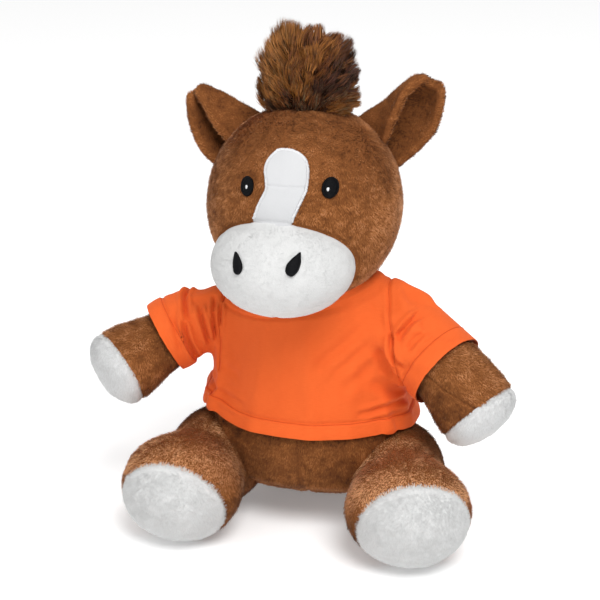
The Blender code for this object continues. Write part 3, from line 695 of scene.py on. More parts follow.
def piece_of_skin(name, co, tris, keep, material, body, replaces=(), bends=None):
    made = sub_mesh(name, co, tris, keep, [material])
    if bends:
        root, way = arm_line(bends, np.array([0.0, 0.35]))
        way = unit(way - root)
        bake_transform(made)
    else:
        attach(made, body)
    if replaces:
        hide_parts(*replaces)
    return made



# the blaze: a flat strip sewn on, a little proud of the pile, its seam to the muzzle under the pile's edge
nu, nv = ((60, 130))
z_rows = HZ + 29.15 - 27.5 * (np.linspace(0, 1, nv) ** 1.35)
xl, xr = HX + blaze_side(BLAZE_L, z_rows - HZ), HX + blaze_side(BLAZE_R, z_rows - HZ)
u = np.linspace(-1, 1, nu)
xz = np.stack([(xl[:, None] + xr[:, None]) / 2 + u[None] * (xr - xl)[:, None] / 2, np.repeat(z_rows[:, None], nu, 1)], -1)
p, n = on_face(xz)
edge = np.minimum(1.0, (1 - np.abs(u[None, :])) * (xr - xl)[:, None] / 2 / 1.2)
edge = np.minimum(edge, np.clip((HZ + 29.2 - z_rows) / 1.2, 0, 1)[:, None])
edge = np.minimum(edge, smoothstep(1.7, 4.0, z_rows - HZ)[:, None])
swell = 0.05 + 0.85 * np.sqrt(np.clip(edge, 0, 1)) + 0.12 * noise(p.reshape(-1, 3), 6.0, 111).reshape(edge.shape)
swell = swell - 0.35 * bump(z_rows - HZ, 16.2, 0.5)[:, None] * (np.abs(u)[None] < 0.9)
top = p + n * swell[..., None]
low = p - n * 0.6
idx = np.arange(nu * nv).reshape(nv, nu)
a, b, c, d = idx[:-1, :-1], idx[:-1, 1:], idx[1:, 1:], idx[1:, :-1]
sheet = np.stack([a, b, c, d], -1).reshape(-1, 4)
rim_ids = np.concatenate([idx[0, :], idx[1:, -1], idx[-1, -2::-1], idx[-2:0:-1, 0]])
nxt = np.roll(rim_ids, -1)
walls = np.stack([rim_ids, nxt, nxt + nu * nv, rim_ids + nu * nv], -1)
blaze_co = np.concatenate([top.reshape(-1, 3), low.reshape(-1, 3)])
all_faces = np.concatenate([sheet, sheet[:, ::-1] + nu * nv, walls[:, ::-1]])
test = np.cross(blaze_co[sheet[0, 1]] - blaze_co[sheet[0, 0]], blaze_co[sheet[0, 2]] - blaze_co[sheet[0, 0]])
if (test * n[0, 0]).sum() < 0:
    all_faces = all_faces[:, ::-1]
blaze = add_object("blaze_strip_cloth", mesh_from("blaze_strip_cloth", blaze_co, all_faces), [BLAZE_CLOTH])
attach(blaze, "head")
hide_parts("blaze_strip")

# its edge: close satin stitches across the outline
ends = [(HX + x, HZ + z) for z, x in reversed(BLAZE_L)] + [(HX + x, HZ + z) for z, x in BLAZE_R]
line = smooth_outline(ends, 500)
line = line[:500 // len(ends) * (len(ends) - 1)]
line = line[line[:, 1] - HZ > 2.8]
step = np.linalg.norm(np.diff(line, axis=0), axis=1)
far = np.concatenate([[0], np.cumsum(step)])
at = np.arange(0.2, far[-1], 0.30)
edge_xz = np.stack([np.interp(at, far, line[:, 0]), np.interp(at, far, line[:, 1])], -1)
tangent = unit(np.gradient(edge_xz, axis=0))
across = np.stack([-tangent[:, 1], tangent[:, 0]], -1)
jitter = np.random.default_rng(5).standard_normal((len(at), 1)) * 0.06
across = across * np.sign(((edge_xz - edge_xz.mean(0)) * across).sum(-1, keepdims=True))
blaze_edge = satin("blaze_stitching", edge_xz - across * (0.80 + jitter), edge_xz + across * (0.22 - jitter),
                   WHITE_THREAD, 0.35, 0.17, lift=0.75, seed=6, points=6, sink=0.45)
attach(blaze_edge, "head")

for side in ("left", "right"):
    c, rx, rz, tilt = EYE[side]
    starts, ends = outline_rows(eye_outline(side), 0.27)
    eye = satin(f"eye_{side}_stitches", starts, ends, BLACK_THREAD, 0.75, 0.175, lift=0.55, seed=8, points=11)
    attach(eye, "head")
    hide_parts(f"eye_{side}")
    # the satin border round it
    ring_xz = eye_outline(side)
    ring_xz = np.concatenate([ring_xz, ring_xz[:1]])
    far = np.concatenate([[0], np.cumsum(np.linalg.norm(np.diff(ring_xz, axis=0), axis=1))])
    at = np.arange(0, far[-1], 0.28)
    q = np.stack([np.interp(at, far, ring_xz[:, 0]), np.interp(at, far, ring_xz[:, 1])], -1)
    outward = unit(q - vec(HX + c[0], HZ + c[1]))
    border = satin(f"eye_{side}_border", q - outward * 0.55, q + outward * 0.35, BLACK_THREAD, 0.30, 0.165, lift=0.75,
                   seed=9, points=5, sink=0.5)
    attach(border, "head")
    gx, gz = (17.35, 15.35) if side == "left" else (-14.55, 14.5)
    th = np.linspace(0, 2 * np.pi, 24, endpoint=False)
    glint = np.stack([HX + gx + 0.52 * np.cos(th), HZ + gz + 0.70 * np.sin(th)], -1)
    starts, ends = outline_rows(glint, 0.22)
    shine = satin(f"eye_{side}_glint_stitches", starts, ends, WHITE_THREAD, 0.25, 0.14, lift=1.30, seed=10, points=5,
                  sink=0.15)
    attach(shine, "head")
    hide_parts(f"eye_highlight_{side}")
    outline = smooth_outline(NOSTRIL[side]) + vec(MUZZLE[0], MUZZLE[2])
    starts, ends = outline_rows(outline, 0.22)
    nostril = satin(f"nostril_{side}_stitches", starts, ends, BLACK_THREAD, 0.45, 0.195, lift=0.85, seed=12, points=9)
    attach(nostril, "head")
    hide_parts(f"nostril_{side}")

# ------------------------------------------------------------------ torso
# The lower trunk, seen below the shirt, and the rest of it under the shirt.
TRUNK = [(104.0, 12.0), (102.6, 20.0), (98.5, 28.0), (91.0, 33.4), (79.0, 36.4), (66.0, 39.2), (52.0, 43.0),
         (38.0, 46.0), (24.0, 46.2), (17.0, 44.0), (11.0, 40.4), (5.0, 34.6), (2.0, 30.0), (0.5, 25.0)]
TRUNK_DEPTH = [(0.4, 0.44), (5.0, 0.44), (11.0, 0.59), (17.0, 0.68), (24.0, 0.755), (46.0, 0.82), (68.0, 0.80),
               (88.0, 0.75), (104.0, 0.74)]
TRUNK_SHIFT = [(0.4, 3.6), (5.0, 2.2), (11.0, -5.1), (17.0, -10.7), (24.0, -15.7), (46.0, -19.0), (68.0, -21.5),
               (88.0, -24.0), (104.0, -26.0)]


def trunk_radii(z):
    return table(TRUNK, z), table(TRUNK_DEPTH, z), table(TRUNK_SHIFT, z)


AROUND, ALONG = ((220, 150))
steps = np.linspace(0, 1, ALONG)
z_rows = 0.5 + 103.3 * (steps - 0.10 * np.sin(2 * np.pi * steps) / 1.0)
theta = np.arange(AROUND) * 2 * np.pi / AROUND
r, share, shift = trunk_radii(z_rows)
oval = np.sign(np.cos(theta)) * np.abs(np.cos(theta)) ** 0.93, np.sign(np.sin(theta)) * np.abs(np.sin(theta)) ** 0.93
torso_co = np.stack([r[:, None] * oval[0][None, :], (r * share)[:, None] * oval[1][None, :] + shift[:, None],
                     np.repeat(z_rows[:, None], AROUND, 1)], -1).reshape(-1, 3)
torso_co = np.concatenate([torso_co, [[0.0, 0.0, 0.45], [0.0, -26.0, 104.2]]])
torso_tris = tube_faces(AROUND, ALONG)
torso_n = vertex_normals(torso_co, torso_tris)
if (torso_n * (torso_co - vec(0, -20, 50))).sum() < 0:
    torso_tris = torso_tris[:, ::-1]
    torso_n = -torso_n


def belly_seam(p):
    """1 on the belly's centre seam, falling to 0 beside it."""
    return bump(p[:, 0], 2.4 + 0.012 * (p[:, 2] - 30), 0.9) * (p[:, 1] < -20)


lump = 0.5 * noise(torso_co, 16.0, 21) + 0.25 * noise(torso_co, 7.0, 22)
lump *= smoothstep(1.0, 10.0, torso_co[:, 2])
torso_co = torso_co + torso_n * (lump - 0.9 * belly_seam(torso_co))[:, None]
torso_n = vertex_normals(torso_co, torso_tris)
torso_mid = torso_co[torso_tris].mean(1)
torso_skin = piece_of_skin("torso_fabric", torso_co, torso_tris, np.ones(len(torso_tris), bool), BROWN_BASE, "trunk",
                           ("back_panel_left", "back_panel_right", "belly_panel_left", "belly_panel_right",
                            "seat_panel", "seat_pellet_pouch", "body_stuffing"))
keep = smoothstep(51, 48, torso_mid[:, 2]) * smoothstep(0.8, 2.0, torso_mid[:, 2])
keep = keep * (1 - 0.55 * belly_seam(torso_mid))
p, n, f = scatter(torso_co, torso_tris, torso_n, 5.5 * PILE, rng, keep)
# painted light on the belly's pile: darker just under the shirt's hem as painted shadow, and darker along the centre
# seam as painted seam shade; the nap's patches are random
lit = 1.52 + nap(p, 2, 1.1) - 1.5 * belly_seam(p) - 0.8 * smoothstep(42, 49, p[:, 2])
torso_pile = pile("torso_pile", p, n, down_comb(n), BROWN_PAINTED_LIGHT_STEPS, seed=21, shade=lit, skin=0.75,
                  map_centre=vec(0, -20, 30),
                  fringe=(0.55 + 0.45 * smoothstep(1.0, 8.0, p[:, 2])) * (1 - 0.45 * belly_seam(p)))
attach(torso_pile, "trunk")

# ------------------------------------------------------------------ legs
HIP = {"left": vec(33.5, -35.0, 25.0), "right": vec(-32.5, -35.0, 25.0)}
THIGH = {"left": vec(39.5, -29.0, 26.5), "right": vec(-40.5, -29.5, 25.5)}
FOOT = {"left": vec(52.1, -63.0, 23.6), "right": vec(-47.9, -64.0, 23.6)}
FOOT_R = {"left": vec(26.6, 24.0, 22.9), "right": vec(26.2, 24.0, 22.9)}
CAP_AXIS = {"left": unit(vec(0.324, -0.864, -0.253)), "right": unit(vec(-0.05, -0.95, -0.309))}
CAP_HALF = {"left": 69.7, "right": 67.0}


def leg_seam(side, p, wide=0.8):
    """1 on the seam along the top of the leg, falling to 0 beside it."""
    q = p - FOOT[side]
    along = unit((FOOT[side] - THIGH[side]) * vec(1, 1, 0))
    off = q @ vec(-along[1], along[0], 0.0) + (1.5 if side == "left" else -2.0)
    return bump(off, 0.0, wide) * smoothstep(4.0, 12.0, q[:, 2])


def leg_field(side):
    s = 1.0 if side == "left" else -1.0
    ankle = FOOT[side] + (THIGH[side] - FOOT[side]) * 0.42 + vec(0, 0, -1.5)

    def field(p):
        foot = ellipsoid(p, FOOT[side], FOOT_R[side])
        thigh = np.linalg.norm((p - THIGH[side]) / vec(1.0, 1.0, 0.98), axis=-1) - 20.6
        a, b = THIGH[side], ankle
        h = np.clip(((p - a) @ (b - a)) / ((b - a) @ (b - a)), 0, 1)
        shin = np.linalg.norm(p - a - h[:, None] * (b - a), axis=-1) - (19.6 + 0.8 * h)
        f = soft_min(soft_min(foot, shin, 5.0), thigh, 6.0)
        d = unit(p - FOOT[side])
        cap = np.degrees(np.arccos(np.clip(d @ CAP_AXIS[side], -1, 1)))
        f = f + 0.7 * bump(cap, CAP_HALF[side], 2.2) * smoothstep(3.0, 0.5, foot)
        # seam along the top of the leg
        q = p - FOOT[side]
        along = unit((FOOT[side] - THIGH[side]) * vec(1, 1, 0))
        across = vec(-along[1], along[0], 0.0)
        off = q @ across + (1.5 if side == "left" else -2.0)
        f = f + 0.7 * bump(off, 0.0, 0.8) * smoothstep(4.0, 12.0, q[:, 2]) * smoothstep(-4, 0, cap - CAP_HALF[side])
        f = f + 0.35 * noise(p, 13.0, 31 + int(s)) + 0.15 * noise(p, 6.0, 35)
        return np.maximum(f, 0.35 - p[:, 2])
    return field


for side, s in (("left", 1.0), ("right", -1.0)):
    centre = FOOT[side] * 0.55 + THIGH[side] * 0.45
    co = star_surface(centre, DIRS, leg_field(side), reach=60.0)

    def cap_border(p):
        turned = np.arccos(np.clip(unit(p - FOOT[side]) @ CAP_AXIS[side], -1, 1))
        return (turned - math.radians(CAP_HALF[side])) * 24.0

    middle = co[DIR_TRIS].mean(1)
    white = (cap_border(middle) < 0) & (ellipsoid(middle, FOOT[side], FOOT_R[side]) < 2.0)
    co = sharp_border(co, DIR_TRIS, white, cap_border, leg_field(side))
    co[:, 2] = np.maximum(co[:, 2], 0.3)
    normals = vertex_normals(co, DIR_TRIS)
    middle = co[DIR_TRIS].mean(1)
    skin = piece_of_skin(f"leg_{side}_fabric", co, DIR_TRIS, ~white, BROWN_BASE, f"leg_{side}",
                         (f"leg_{side}_inner_panel", f"leg_{side}_outer_panel", f"leg_{side}_stuffing",
                          f"leg_{side}_root_stuffing"))
    cap = piece_of_skin(f"foot_{side}_fabric", co, DIR_TRIS, white, WHITE_BASE, f"leg_{side}",
                        (f"leg_{side}_foot_cap",))
    # pile only where it can be seen: not inside the torso
    r, share, shift = trunk_radii(middle[:, 2])
    inside = ((middle[:, 0] / r) ** 2 + ((middle[:, 1] - shift) / (r * share)) ** 2) < 0.80
    floor_share = 0.25 + 0.75 * smoothstep(0.5, 1.5, middle[:, 2])
    p, n, f = scatter(co, DIR_TRIS, normals, 5.5 * PILE, rng, (~white & ~inside) * floor_share)
    toward = FOOT[side] - p
    comb = down_comb(n, (0, 0, -1)) + 0.8 * down_comb(n, unit(FOOT[side] - THIGH[side]))
    line = leg_seam(side, p, 0.6)
    # painted light on the leg pile: the tops painted lighter as if lit from above, more on the left leg; the inner
    # side, the seam, the part near the floor and the part back under the belly painted darker as shade; the nap's
    # patches are random
    toward_middle = smoothstep(2.0, 16.0, -s * (p[:, 0] - centre[0])) * smoothstep(0.9, 0.4, n[:, 2])
    lit = (2.55 + nap(p, 3 + int(s), 0.9) + (4.6 if side == "left" else 2.9) * smoothstep(-0.1, 0.55, n[:, 2]) * smoothstep(-32, -44, p[:, 1])
           - 1.35 * toward_middle - 1.6 * line - 0.6 * smoothstep(16, 4, p[:, 2]) - 0.9 * smoothstep(-40, -28, p[:, 1]))
    made = pile(f"leg_{side}_pile", p, n, comb, BROWN_PAINTED_LIGHT_STEPS_BRIGHTER, length=1.35, seed=31 + int(s), shade=lit, skin=0.72,
                map_centre=centre, fringe=(0.45 + 0.55 * smoothstep(0.8, 5.0, p[:, 2])) * (1 - 0.45 * line))
    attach(made, f"leg_{side}")
    p, n, f = scatter(co, DIR_TRIS, normals, 5.5 * PILE, rng, white * floor_share)
    d = unit(p - FOOT[side])
    angle = np.degrees(np.arccos(np.clip(d @ CAP_AXIS[side], -1, 1)))
    edge = smoothstep(CAP_HALF[side] - 12, CAP_HALF[side], angle)
    outward = down_comb(n, -CAP_AXIS[side])
    made = pile(f"foot_{side}_pile", p, n, down_comb(n) * (1 - edge[:, None]) + outward * (0.2 + 0.7 * edge[:, None]),
                WHITE, length=1.15, lean=1.2, wild=0.16, seed=41 + int(s), map_centre=centre, skin=1.0,
                fringe=(0.5 + 0.5 * smoothstep(0.8, 5.0, p[:, 2])) * (1 + 0.25 * edge))
    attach(made, f"leg_{side}")

# ------------------------------------------------------------------ arms
SHOULDER = {"left": vec(41.0, -26.0, 95.5), "right": vec(-41.0, -26.0, 89.5)}
ELBOW = {"left": vec(62.6, -36.0, 78.6), "right": vec(-61.0, -33.0, 81.0)}
HOOF = {"left": vec(77.1, -43.0, 64.1), "right": vec(-79.9, -47.0, 70.3)}
HOOF_DIR = {"left": unit(vec(0.6655, -0.299, -0.684)), "right": unit(vec(-0.6755, -0.6235, -0.394))}
ARM_R = {"left": [(0.0, 12.5), (12.0, 14.0), (22.0, 14.9), (27.0, 15.7), (31.0, 16.0), (40.0, 16.8), (47.0, 17.3), (51.0, 17.2)],
         "right": [(0.0, 7.2), (8.0, 7.2), (15.0, 7.6), (20.5, 8.8), (24.5, 11.8), (27.5, 12.8), (31.0, 13.3), (39.0, 15.2), (46.0, 16.6), (51.0, 16.9)]}
HOOF_R = [(0.0, 1.0), (2.5, 0.985), (5.0, 0.93), (7.4, 0.80), (9.2, 0.62), (10.4, 0.40), (11.0, 0.18)]
ARM_LONG = {}


def arm_line(side, t):
    """Centre line of the arm: t from 0 at the shoulder to 1 at the hoof seam, and straight on beyond."""
    a, b, c = SHOULDER[side], ELBOW[side], HOOF[side]
    t = np.asarray(t, float)[:, None]
    # Hermite through the elbow, ending in the hoof's own direction
    m0 = (b - a) * 1.0
    m2 = HOOF_DIR[side] * np.linalg.norm(c - b) * 1.05
    m1 = (c - a) * 0.5
    first = t < 0.5
    u = np.where(first, t * 2, t * 2 - 1)
    p0, p1 = np.where(first, a, b), np.where(first, b, c)
    q0, q1 = np.where(first, m0, m1), np.where(first, m1, m2)
    inside = (p0 * (2 * u ** 3 - 3 * u ** 2 + 1) + q0 * (u ** 3 - 2 * u ** 2 + u) + p1 * (-2 * u ** 3 + 3 * u ** 2)
              + q1 * (u ** 3 - u ** 2))
    return np.where(t > 1, c + HOOF_DIR[side] * (t - 1) * 100.0, inside)


def arm_grid(side, around, rows, grow=0.0, stop=None, wrinkle=None):
    """Points of the arm's skin as rows of rings, from inside the shoulder to the tip."""
    long = np.linalg.norm(ELBOW[side] - SHOULDER[side]) + np.linalg.norm(HOOF[side] - ELBOW[side])
    t = rows["t"]
    centre = arm_line(side, t)
    ahead = arm_line(side, t + 0.01)
    behind = arm_line(side, np.maximum(t - 0.01, -0.2)) if t.min() > 0.01 else arm_line(side, np.maximum(t - 0.01, 0))
    along = unit(ahead - behind)
    across = unit(np.cross(along, vec(0, 0, 1)))
    up = np.cross(across, along)
    angle = np.arange(around) * 2 * np.pi / around
    ring = (np.cos(angle)[None, :, None] * across[:, None, :] + np.sin(angle)[None, :, None] * up[:, None, :])
    return centre, ring, along, long


def arm_surface(side):
    around = 180
    body = np.linspace(0, 1, 100)
    long = np.linalg.norm(ELBOW[side] - SHOULDER[side]) + np.linalg.norm(HOOF[side] - ELBOW[side])
    start = np.linspace(-80, -5, 8)
    tip = np.linspace(0.25, 11.0, 20)
    t = np.concatenate([body, 1 + tip / 100.0])
    radius = np.concatenate([table([(a / 51.0, b) for a, b in ARM_R[side]], body),
                             table(HOOF_R, tip) * ARM_R[side][-1][1]])
    centre, ring, along, long = arm_grid(side, around, {"t": t})
    co = centre[:, None, :] + ring * radius[:, None, None]
    # rounded root inside the shoulder
    a0, r0 = along[0], radius[0]
    root = []
    for a in np.radians(start):
        root.append(centre[0] + ring[0] * r0 * math.cos(a) + a0 * r0 * math.sin(a))
    co = np.concatenate([np.array(root), co])
    s_of = np.concatenate([np.full(len(start), -1.0), t])
    rows = len(co)
    tipco = centre[-1] + along[-1] * 0.3
    rootco = centre[0] - a0 * r0
    share = np.repeat(s_of, around)
    angle = np.tile(np.arange(around) * 2 * np.pi / around, rows)
    pts = np.concatenate([co.reshape(-1, 3), [rootco], [tipco]])
    share = np.concatenate([share, [-1.0, 2.0]])
    angle = np.concatenate([angle, [0.0, 0.0]])
    tris = tube_faces(around, rows)
    normals = vertex_normals(pts, tris)
    if (normals * (pts - pts.mean(0))).sum() < 0:
        tris, normals = tris[:, ::-1], -normals
    return pts, tris, normals, share, angle


def arm_seam(side, angle, share):
    """How far round the arm a point is from its front seam, in mm."""
    at = np.radians(8.0 + 58.0 * (share - 0.5)) if side == "left" else math.radians(-60.0)
    return np.angle(np.exp(1j * (angle - at))) * 16.0


for side, s in (("left", 1.0), ("right", -1.0)):
    co, tris, normals, share, angle = arm_surface(side)
    groove = 0.7 * bump(share, 1.0, 0.014)
    groove = groove + 0.75 * bump(arm_seam(side, angle, share), 0.0, 0.8) * (share < 1.0) * (share > 0.3)
    pucker = 0.5 * noise(co, 12.0, 51) + 0.25 * noise(co, 5.0, 52)
    co = co + normals * (pucker - groove)[:, None]
    normals = vertex_normals(co, tris)
    middle_share = share[tris].mean(1)
    white = middle_share > 1.0
    skin = piece_of_skin(f"arm_{side}_fabric", co, tris, ~white, BROWN_BASE, f"arm_{side}",
                         (f"arm_{side}_upper_panel", f"arm_{side}_lower_panel", f"arm_{side}_stuffing",
                          f"arm_{side}_root_stuffing"), bends=side)
    cap = piece_of_skin(f"hoof_{side}_fabric", co, tris, white, WHITE_BASE, f"arm_{side}", (f"arm_{side}_hoof",))
    seen = (~white) * smoothstep(0.32, 0.40, middle_share)
    p, n, f = scatter(co, tris, normals, 5.5 * PILE, rng, seen)
    comb = down_comb(n, HOOF_DIR[side]) * 0.9 + down_comb(n)
    away = arm_seam(side, angle[tris[f, 0]], share[tris[f, 0]])
    line = bump(away, 0.0, 0.9)
    # painted light on the arm pile: the top painted lighter as if lit from above; the underside, the seam, the left
    # arm's side of its seam and a band round the right arm just past the sleeve's cuff painted darker as shade; the
    # nap's patches are random
    lit = (2.35 + nap(p, 5 + int(s), 1.25) + 0.9 * smoothstep(0.2, 0.9, n[:, 2]) - 1.5 * line
           - 0.9 * smoothstep(0.0, -0.8, n[:, 2]) - 1.2 * bump(share[tris[f, 0]], 0.60, 0.10) * (side == "right")
           - 0.9 * smoothstep(0.5, -3.0, away) * smoothstep(-30.0, -22.0, away) * (side == "left"))
    made = pile(f"arm_{side}_pile", p, n, comb, BROWN_PAINTED_LIGHT_STEPS, length=1.35, seed=51 + int(s), shade=lit, skin=0.72,
                map_centre=ELBOW[side], fringe=1 - 0.35 * line)
    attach(made, f"arm_{side}")
    p, n, f = scatter(co, tris, normals, 5.5 * PILE, rng, white.astype(float))
    made = pile(f"hoof_{side}_pile", p, n, down_comb(n), WHITE_HOOF, length=1.1, seed=61 + int(s), skin=1.0, wild=0.15,
                map_centre=HOOF[side])
    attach(made, f"arm_{side}")

# ------------------------------------------------------------------ ears
# Each ear is one padded leaf rolled into a cup. Rows run from its root in the head to its tip; a row has the front
# flap's edge, the fold, the back of the cup and the outer rim, as (across, up, forward) in mm from the head's centre,
# along axes turned like a viewer's who looks from the front, a little to the left of the horse and from above.
TURN, TILT = math.radians(14.0), math.radians(20.0)
SEEN = np.array([[math.cos(TURN), math.sin(TURN), 0.0],
                 [-math.sin(TURN) * math.sin(TILT), math.cos(TURN) * math.sin(TILT), math.cos(TILT)],
                 [math.sin(TURN) * math.cos(TILT), -math.cos(TURN) * math.cos(TILT), math.sin(TILT)]])
EAR = {
    "left": [[(31.6, 20.0, 6.0), (21.9, 32.3, 1.0), (26.0, 22.0, -5.0), (36.7, 12.0, -1.0)],
             [(34.6, 25.1, 9.0), (26.6, 35.7, 3.0), (31.5, 25.5, -4.0), (43.4, 17.1, 1.0)],
             [(36.7, 31.7, 12.5), (33.3, 40.1, 6.0), (37.5, 30.5, -3.0), (49.8, 23.0, 3.5)],
             [(38.8, 36.9, 14.5), (37.5, 43.7, 8.5), (42.5, 36.0, -0.5), (54.8, 29.3, 6.5)],
             [(42.6, 43.7, 15.5), (42.0, 47.5, 11.0), (47.5, 42.5, 3.5), (56.9, 37.4, 10.0)],
             [(46.8, 46.6, 15.5), (46.0, 49.4, 13.0), (50.5, 46.5, 8.0), (57.3, 43.3, 12.5)],
             [(50.6, 48.3, 15.0), (50.2, 49.2, 14.3), (52.5, 48.4, 13.0), (55.2, 47.5, 14.3)]],
    "right": [[(-29.1, 21.3, -3.0), (-16.4, 34.0, -8.0), (-22.0, 24.0, -14.0), (-32.5, 11.2, -9.0)],
              [(-32.5, 24.7, -1.0), (-22.4, 37.8, -7.0), (-27.0, 26.0, -14.0), (-38.4, 15.9, -7.5)],
              [(-36.7, 29.3, 0.0), (-27.4, 40.7, -6.0), (-32.5, 31.0, -13.0), (-44.3, 21.8, -6.0)],
              [(-40.1, 34.4, 0.0), (-32.5, 43.7, -5.5), (-37.5, 36.5, -11.5), (-47.6, 29.3, -5.0)],
              [(-43.0, 39.9, -0.5), (-38.0, 46.6, -4.5), (-42.0, 41.5, -9.0), (-49.3, 37.4, -4.0)],
              [(-45.5, 43.3, -1.5), (-42.2, 48.1, -4.0), (-45.5, 45.0, -6.5), (-49.8, 42.8, -3.5)],
              [(-46.8, 45.8, -3.0), (-45.5, 47.7, -3.8), (-47.2, 46.8, -4.5), (-48.7, 45.8, -3.5)]]}
EAR_ROWS = [0.0, 0.15, 0.35, 0.55, 0.75, 0.9, 1.0]


def through(points, knots, at):
    """Smooth curve through four rows of points: points (4, rows, 3), at (samples)."""
    ends = np.concatenate([2 * points[:1] - points[1:2], points, 2 * points[-1:] - points[-2:-1]])
    k = np.clip(np.searchsorted(knots, at, side="right") - 1, 0, 2)
    t = ((at - knots[k]) / (knots[k + 1] - knots[k]))[:, None, None]
    a, b, c, d = ends[k], ends[k + 1], ends[k + 2], ends[k + 3]
    return 0.5 * (2 * b + (c - a) * t + (2 * a - 5 * b + 4 * c - d) * t ** 2 + (3 * b - a - 3 * c + d) * t ** 3)


for side, s in (("left", 1.0), ("right", -1.0)):
    guide = np.array(EAR[side], float) @ SEEN + HEAD                       # rows, four, xyz
    nu, nv = ((130, 100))
    u = 0.5 - 0.5 * np.cos(np.pi * np.linspace(0, 1, nu))
    u = 0.6 * u + 0.4 * np.linspace(0, 1, nu)
    v = np.sin(0.5 * np.pi * np.linspace(0, 1, nv)) * 0.6 + 0.4 * np.linspace(0, 1, nv)
    rows = np.stack([np.stack([table(list(zip(EAR_ROWS, guide[:, k, a])), v) for a in range(3)], -1) for k in range(4)])
    mid_co = through(rows, np.array([0.0, 0.26, 0.60, 1.0]), u).transpose(1, 0, 2)      # v, u, xyz
    du, dv = np.gradient(mid_co, axis=1), np.gradient(mid_co, axis=0)
    nn = unit(np.cross(du, dv))
    inward = mid_co.mean(axis=1, keepdims=True) - mid_co
    if (nn * inward).sum() > 0:
        nn = -nn
    span = np.concatenate([np.zeros((nv, 1)), np.cumsum(np.linalg.norm(np.diff(mid_co, axis=1), axis=-1), axis=1)], 1)
    long = np.concatenate([np.zeros((1, nu)), np.cumsum(np.linalg.norm(np.diff(mid_co, axis=0), axis=-1), axis=0)], 0)
    rim_off = np.minimum(np.minimum(span, span[:, -1:] - span), long[-1:] - long)
    full = 1.55 + 0.55 * bump(rim_off, 1.6, 2.2)
    half = np.maximum(full * np.sqrt(1 - (1 - np.clip(rim_off / 2.1, 0, 1)) ** 2), 0.08)
    soft = 0.45 * noise(mid_co.reshape(-1, 3), 9.0, 71).reshape(half.shape)
    soft = soft + 0.2 * noise(mid_co.reshape(-1, 3), 4.0, 72).reshape(half.shape)
    outer_co = mid_co + nn * (half + soft)[..., None]
    inner_co = mid_co - nn * (half - soft)[..., None]
    idx = np.arange(nu * nv).reshape(nv, nu)
    a, b, c, d = idx[:-1, :-1], idx[:-1, 1:], idx[1:, 1:], idx[1:, :-1]
    sheet = np.concatenate([np.stack([a, b, c], -1).reshape(-1, 3), np.stack([a, c, d], -1).reshape(-1, 3)])
    count = nu * nv
    rim = np.concatenate([idx[:, -1], idx[-1, ::-1][1:], idx[::-1, 0][1:], idx[0, :][1:]])
    walls = []
    for x, y in zip(rim[:-1], rim[1:]):
        walls.append([x, y, y + count])
        walls.append([x, y + count, x + count])
    tris = np.concatenate([sheet, sheet[:, ::-1] + count, np.array(walls)])
    co = np.concatenate([outer_co.reshape(-1, 3), inner_co.reshape(-1, 3)])
    normals = vertex_normals(co, tris)
    if (normals[:count] * nn.reshape(-1, 3)).sum() < 0:
        tris, normals = tris[:, ::-1], -normals
    skin = piece_of_skin(f"ear_{side}_fabric", co, tris, np.ones(len(tris), bool), BROWN_BASE, f"ear_{side}",
                         (f"ear_{side}_front_panel", f"ear_{side}_back_panel"))
    p, n, f = scatter(co, tris, normals, 5.5 * PILE, rng)
    within = (tris[f] >= count).all(1)
    out = unit(guide[-1].mean(0) - guide[0].mean(0))
    deep = rim_off.reshape(-1)[tris[f, 0] % count]
    at_u = u[(tris[f, 0] % count) % nu]
    # painted light on the ear pile: lighter near the rims as painted highlight, the inside of the cup darker, most of
    # all behind the flap's edge, as painted shadow; the nap's patches are random
    lit = 1.50 + nap(p, 7 + int(s), 1.25) + 0.65 * smoothstep(3.0, 0.5, deep) - 0.55 * within * smoothstep(2.5, 6.0, deep)
    lit = lit - 1.5 * within * bump(at_u, 0.42, 0.20) * smoothstep(1.5, 4.0, deep)
    made = pile(f"ear_{side}_pile", p, n, down_comb(n, out) * 0.8 + down_comb(n) * 0.4, BROWN_PAINTED_LIGHT_STEPS, length=1.1,
                seed=71 + int(s), map_centre=guide.mean((0, 1)), shade=lit, skin=0.62, wild=0.30)
    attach(made, f"ear_{side}")

# ------------------------------------------------------------------ mane and tail
FUR = []
for k, shades in enumerate([
        [(0.045, 0.015, 0.010), (0.080, 0.026, 0.014)],        # dark, purplish
        [(0.130, 0.038, 0.010), (0.210, 0.068, 0.016)],        # brown
        [(0.290, 0.100, 0.018), (0.400, 0.155, 0.030)],        # golden
        [(0.470, 0.215, 0.060), (0.380, 0.150, 0.034)]]):      # pale gold
    FUR.append(mottled(f"fur_shade_{k}", shades, sizes=(5.0, 1.2), rough=0.6, specular=0.3, sheen=0.15,
                       sheen_tint=(1.0, 0.7, 0.4)))


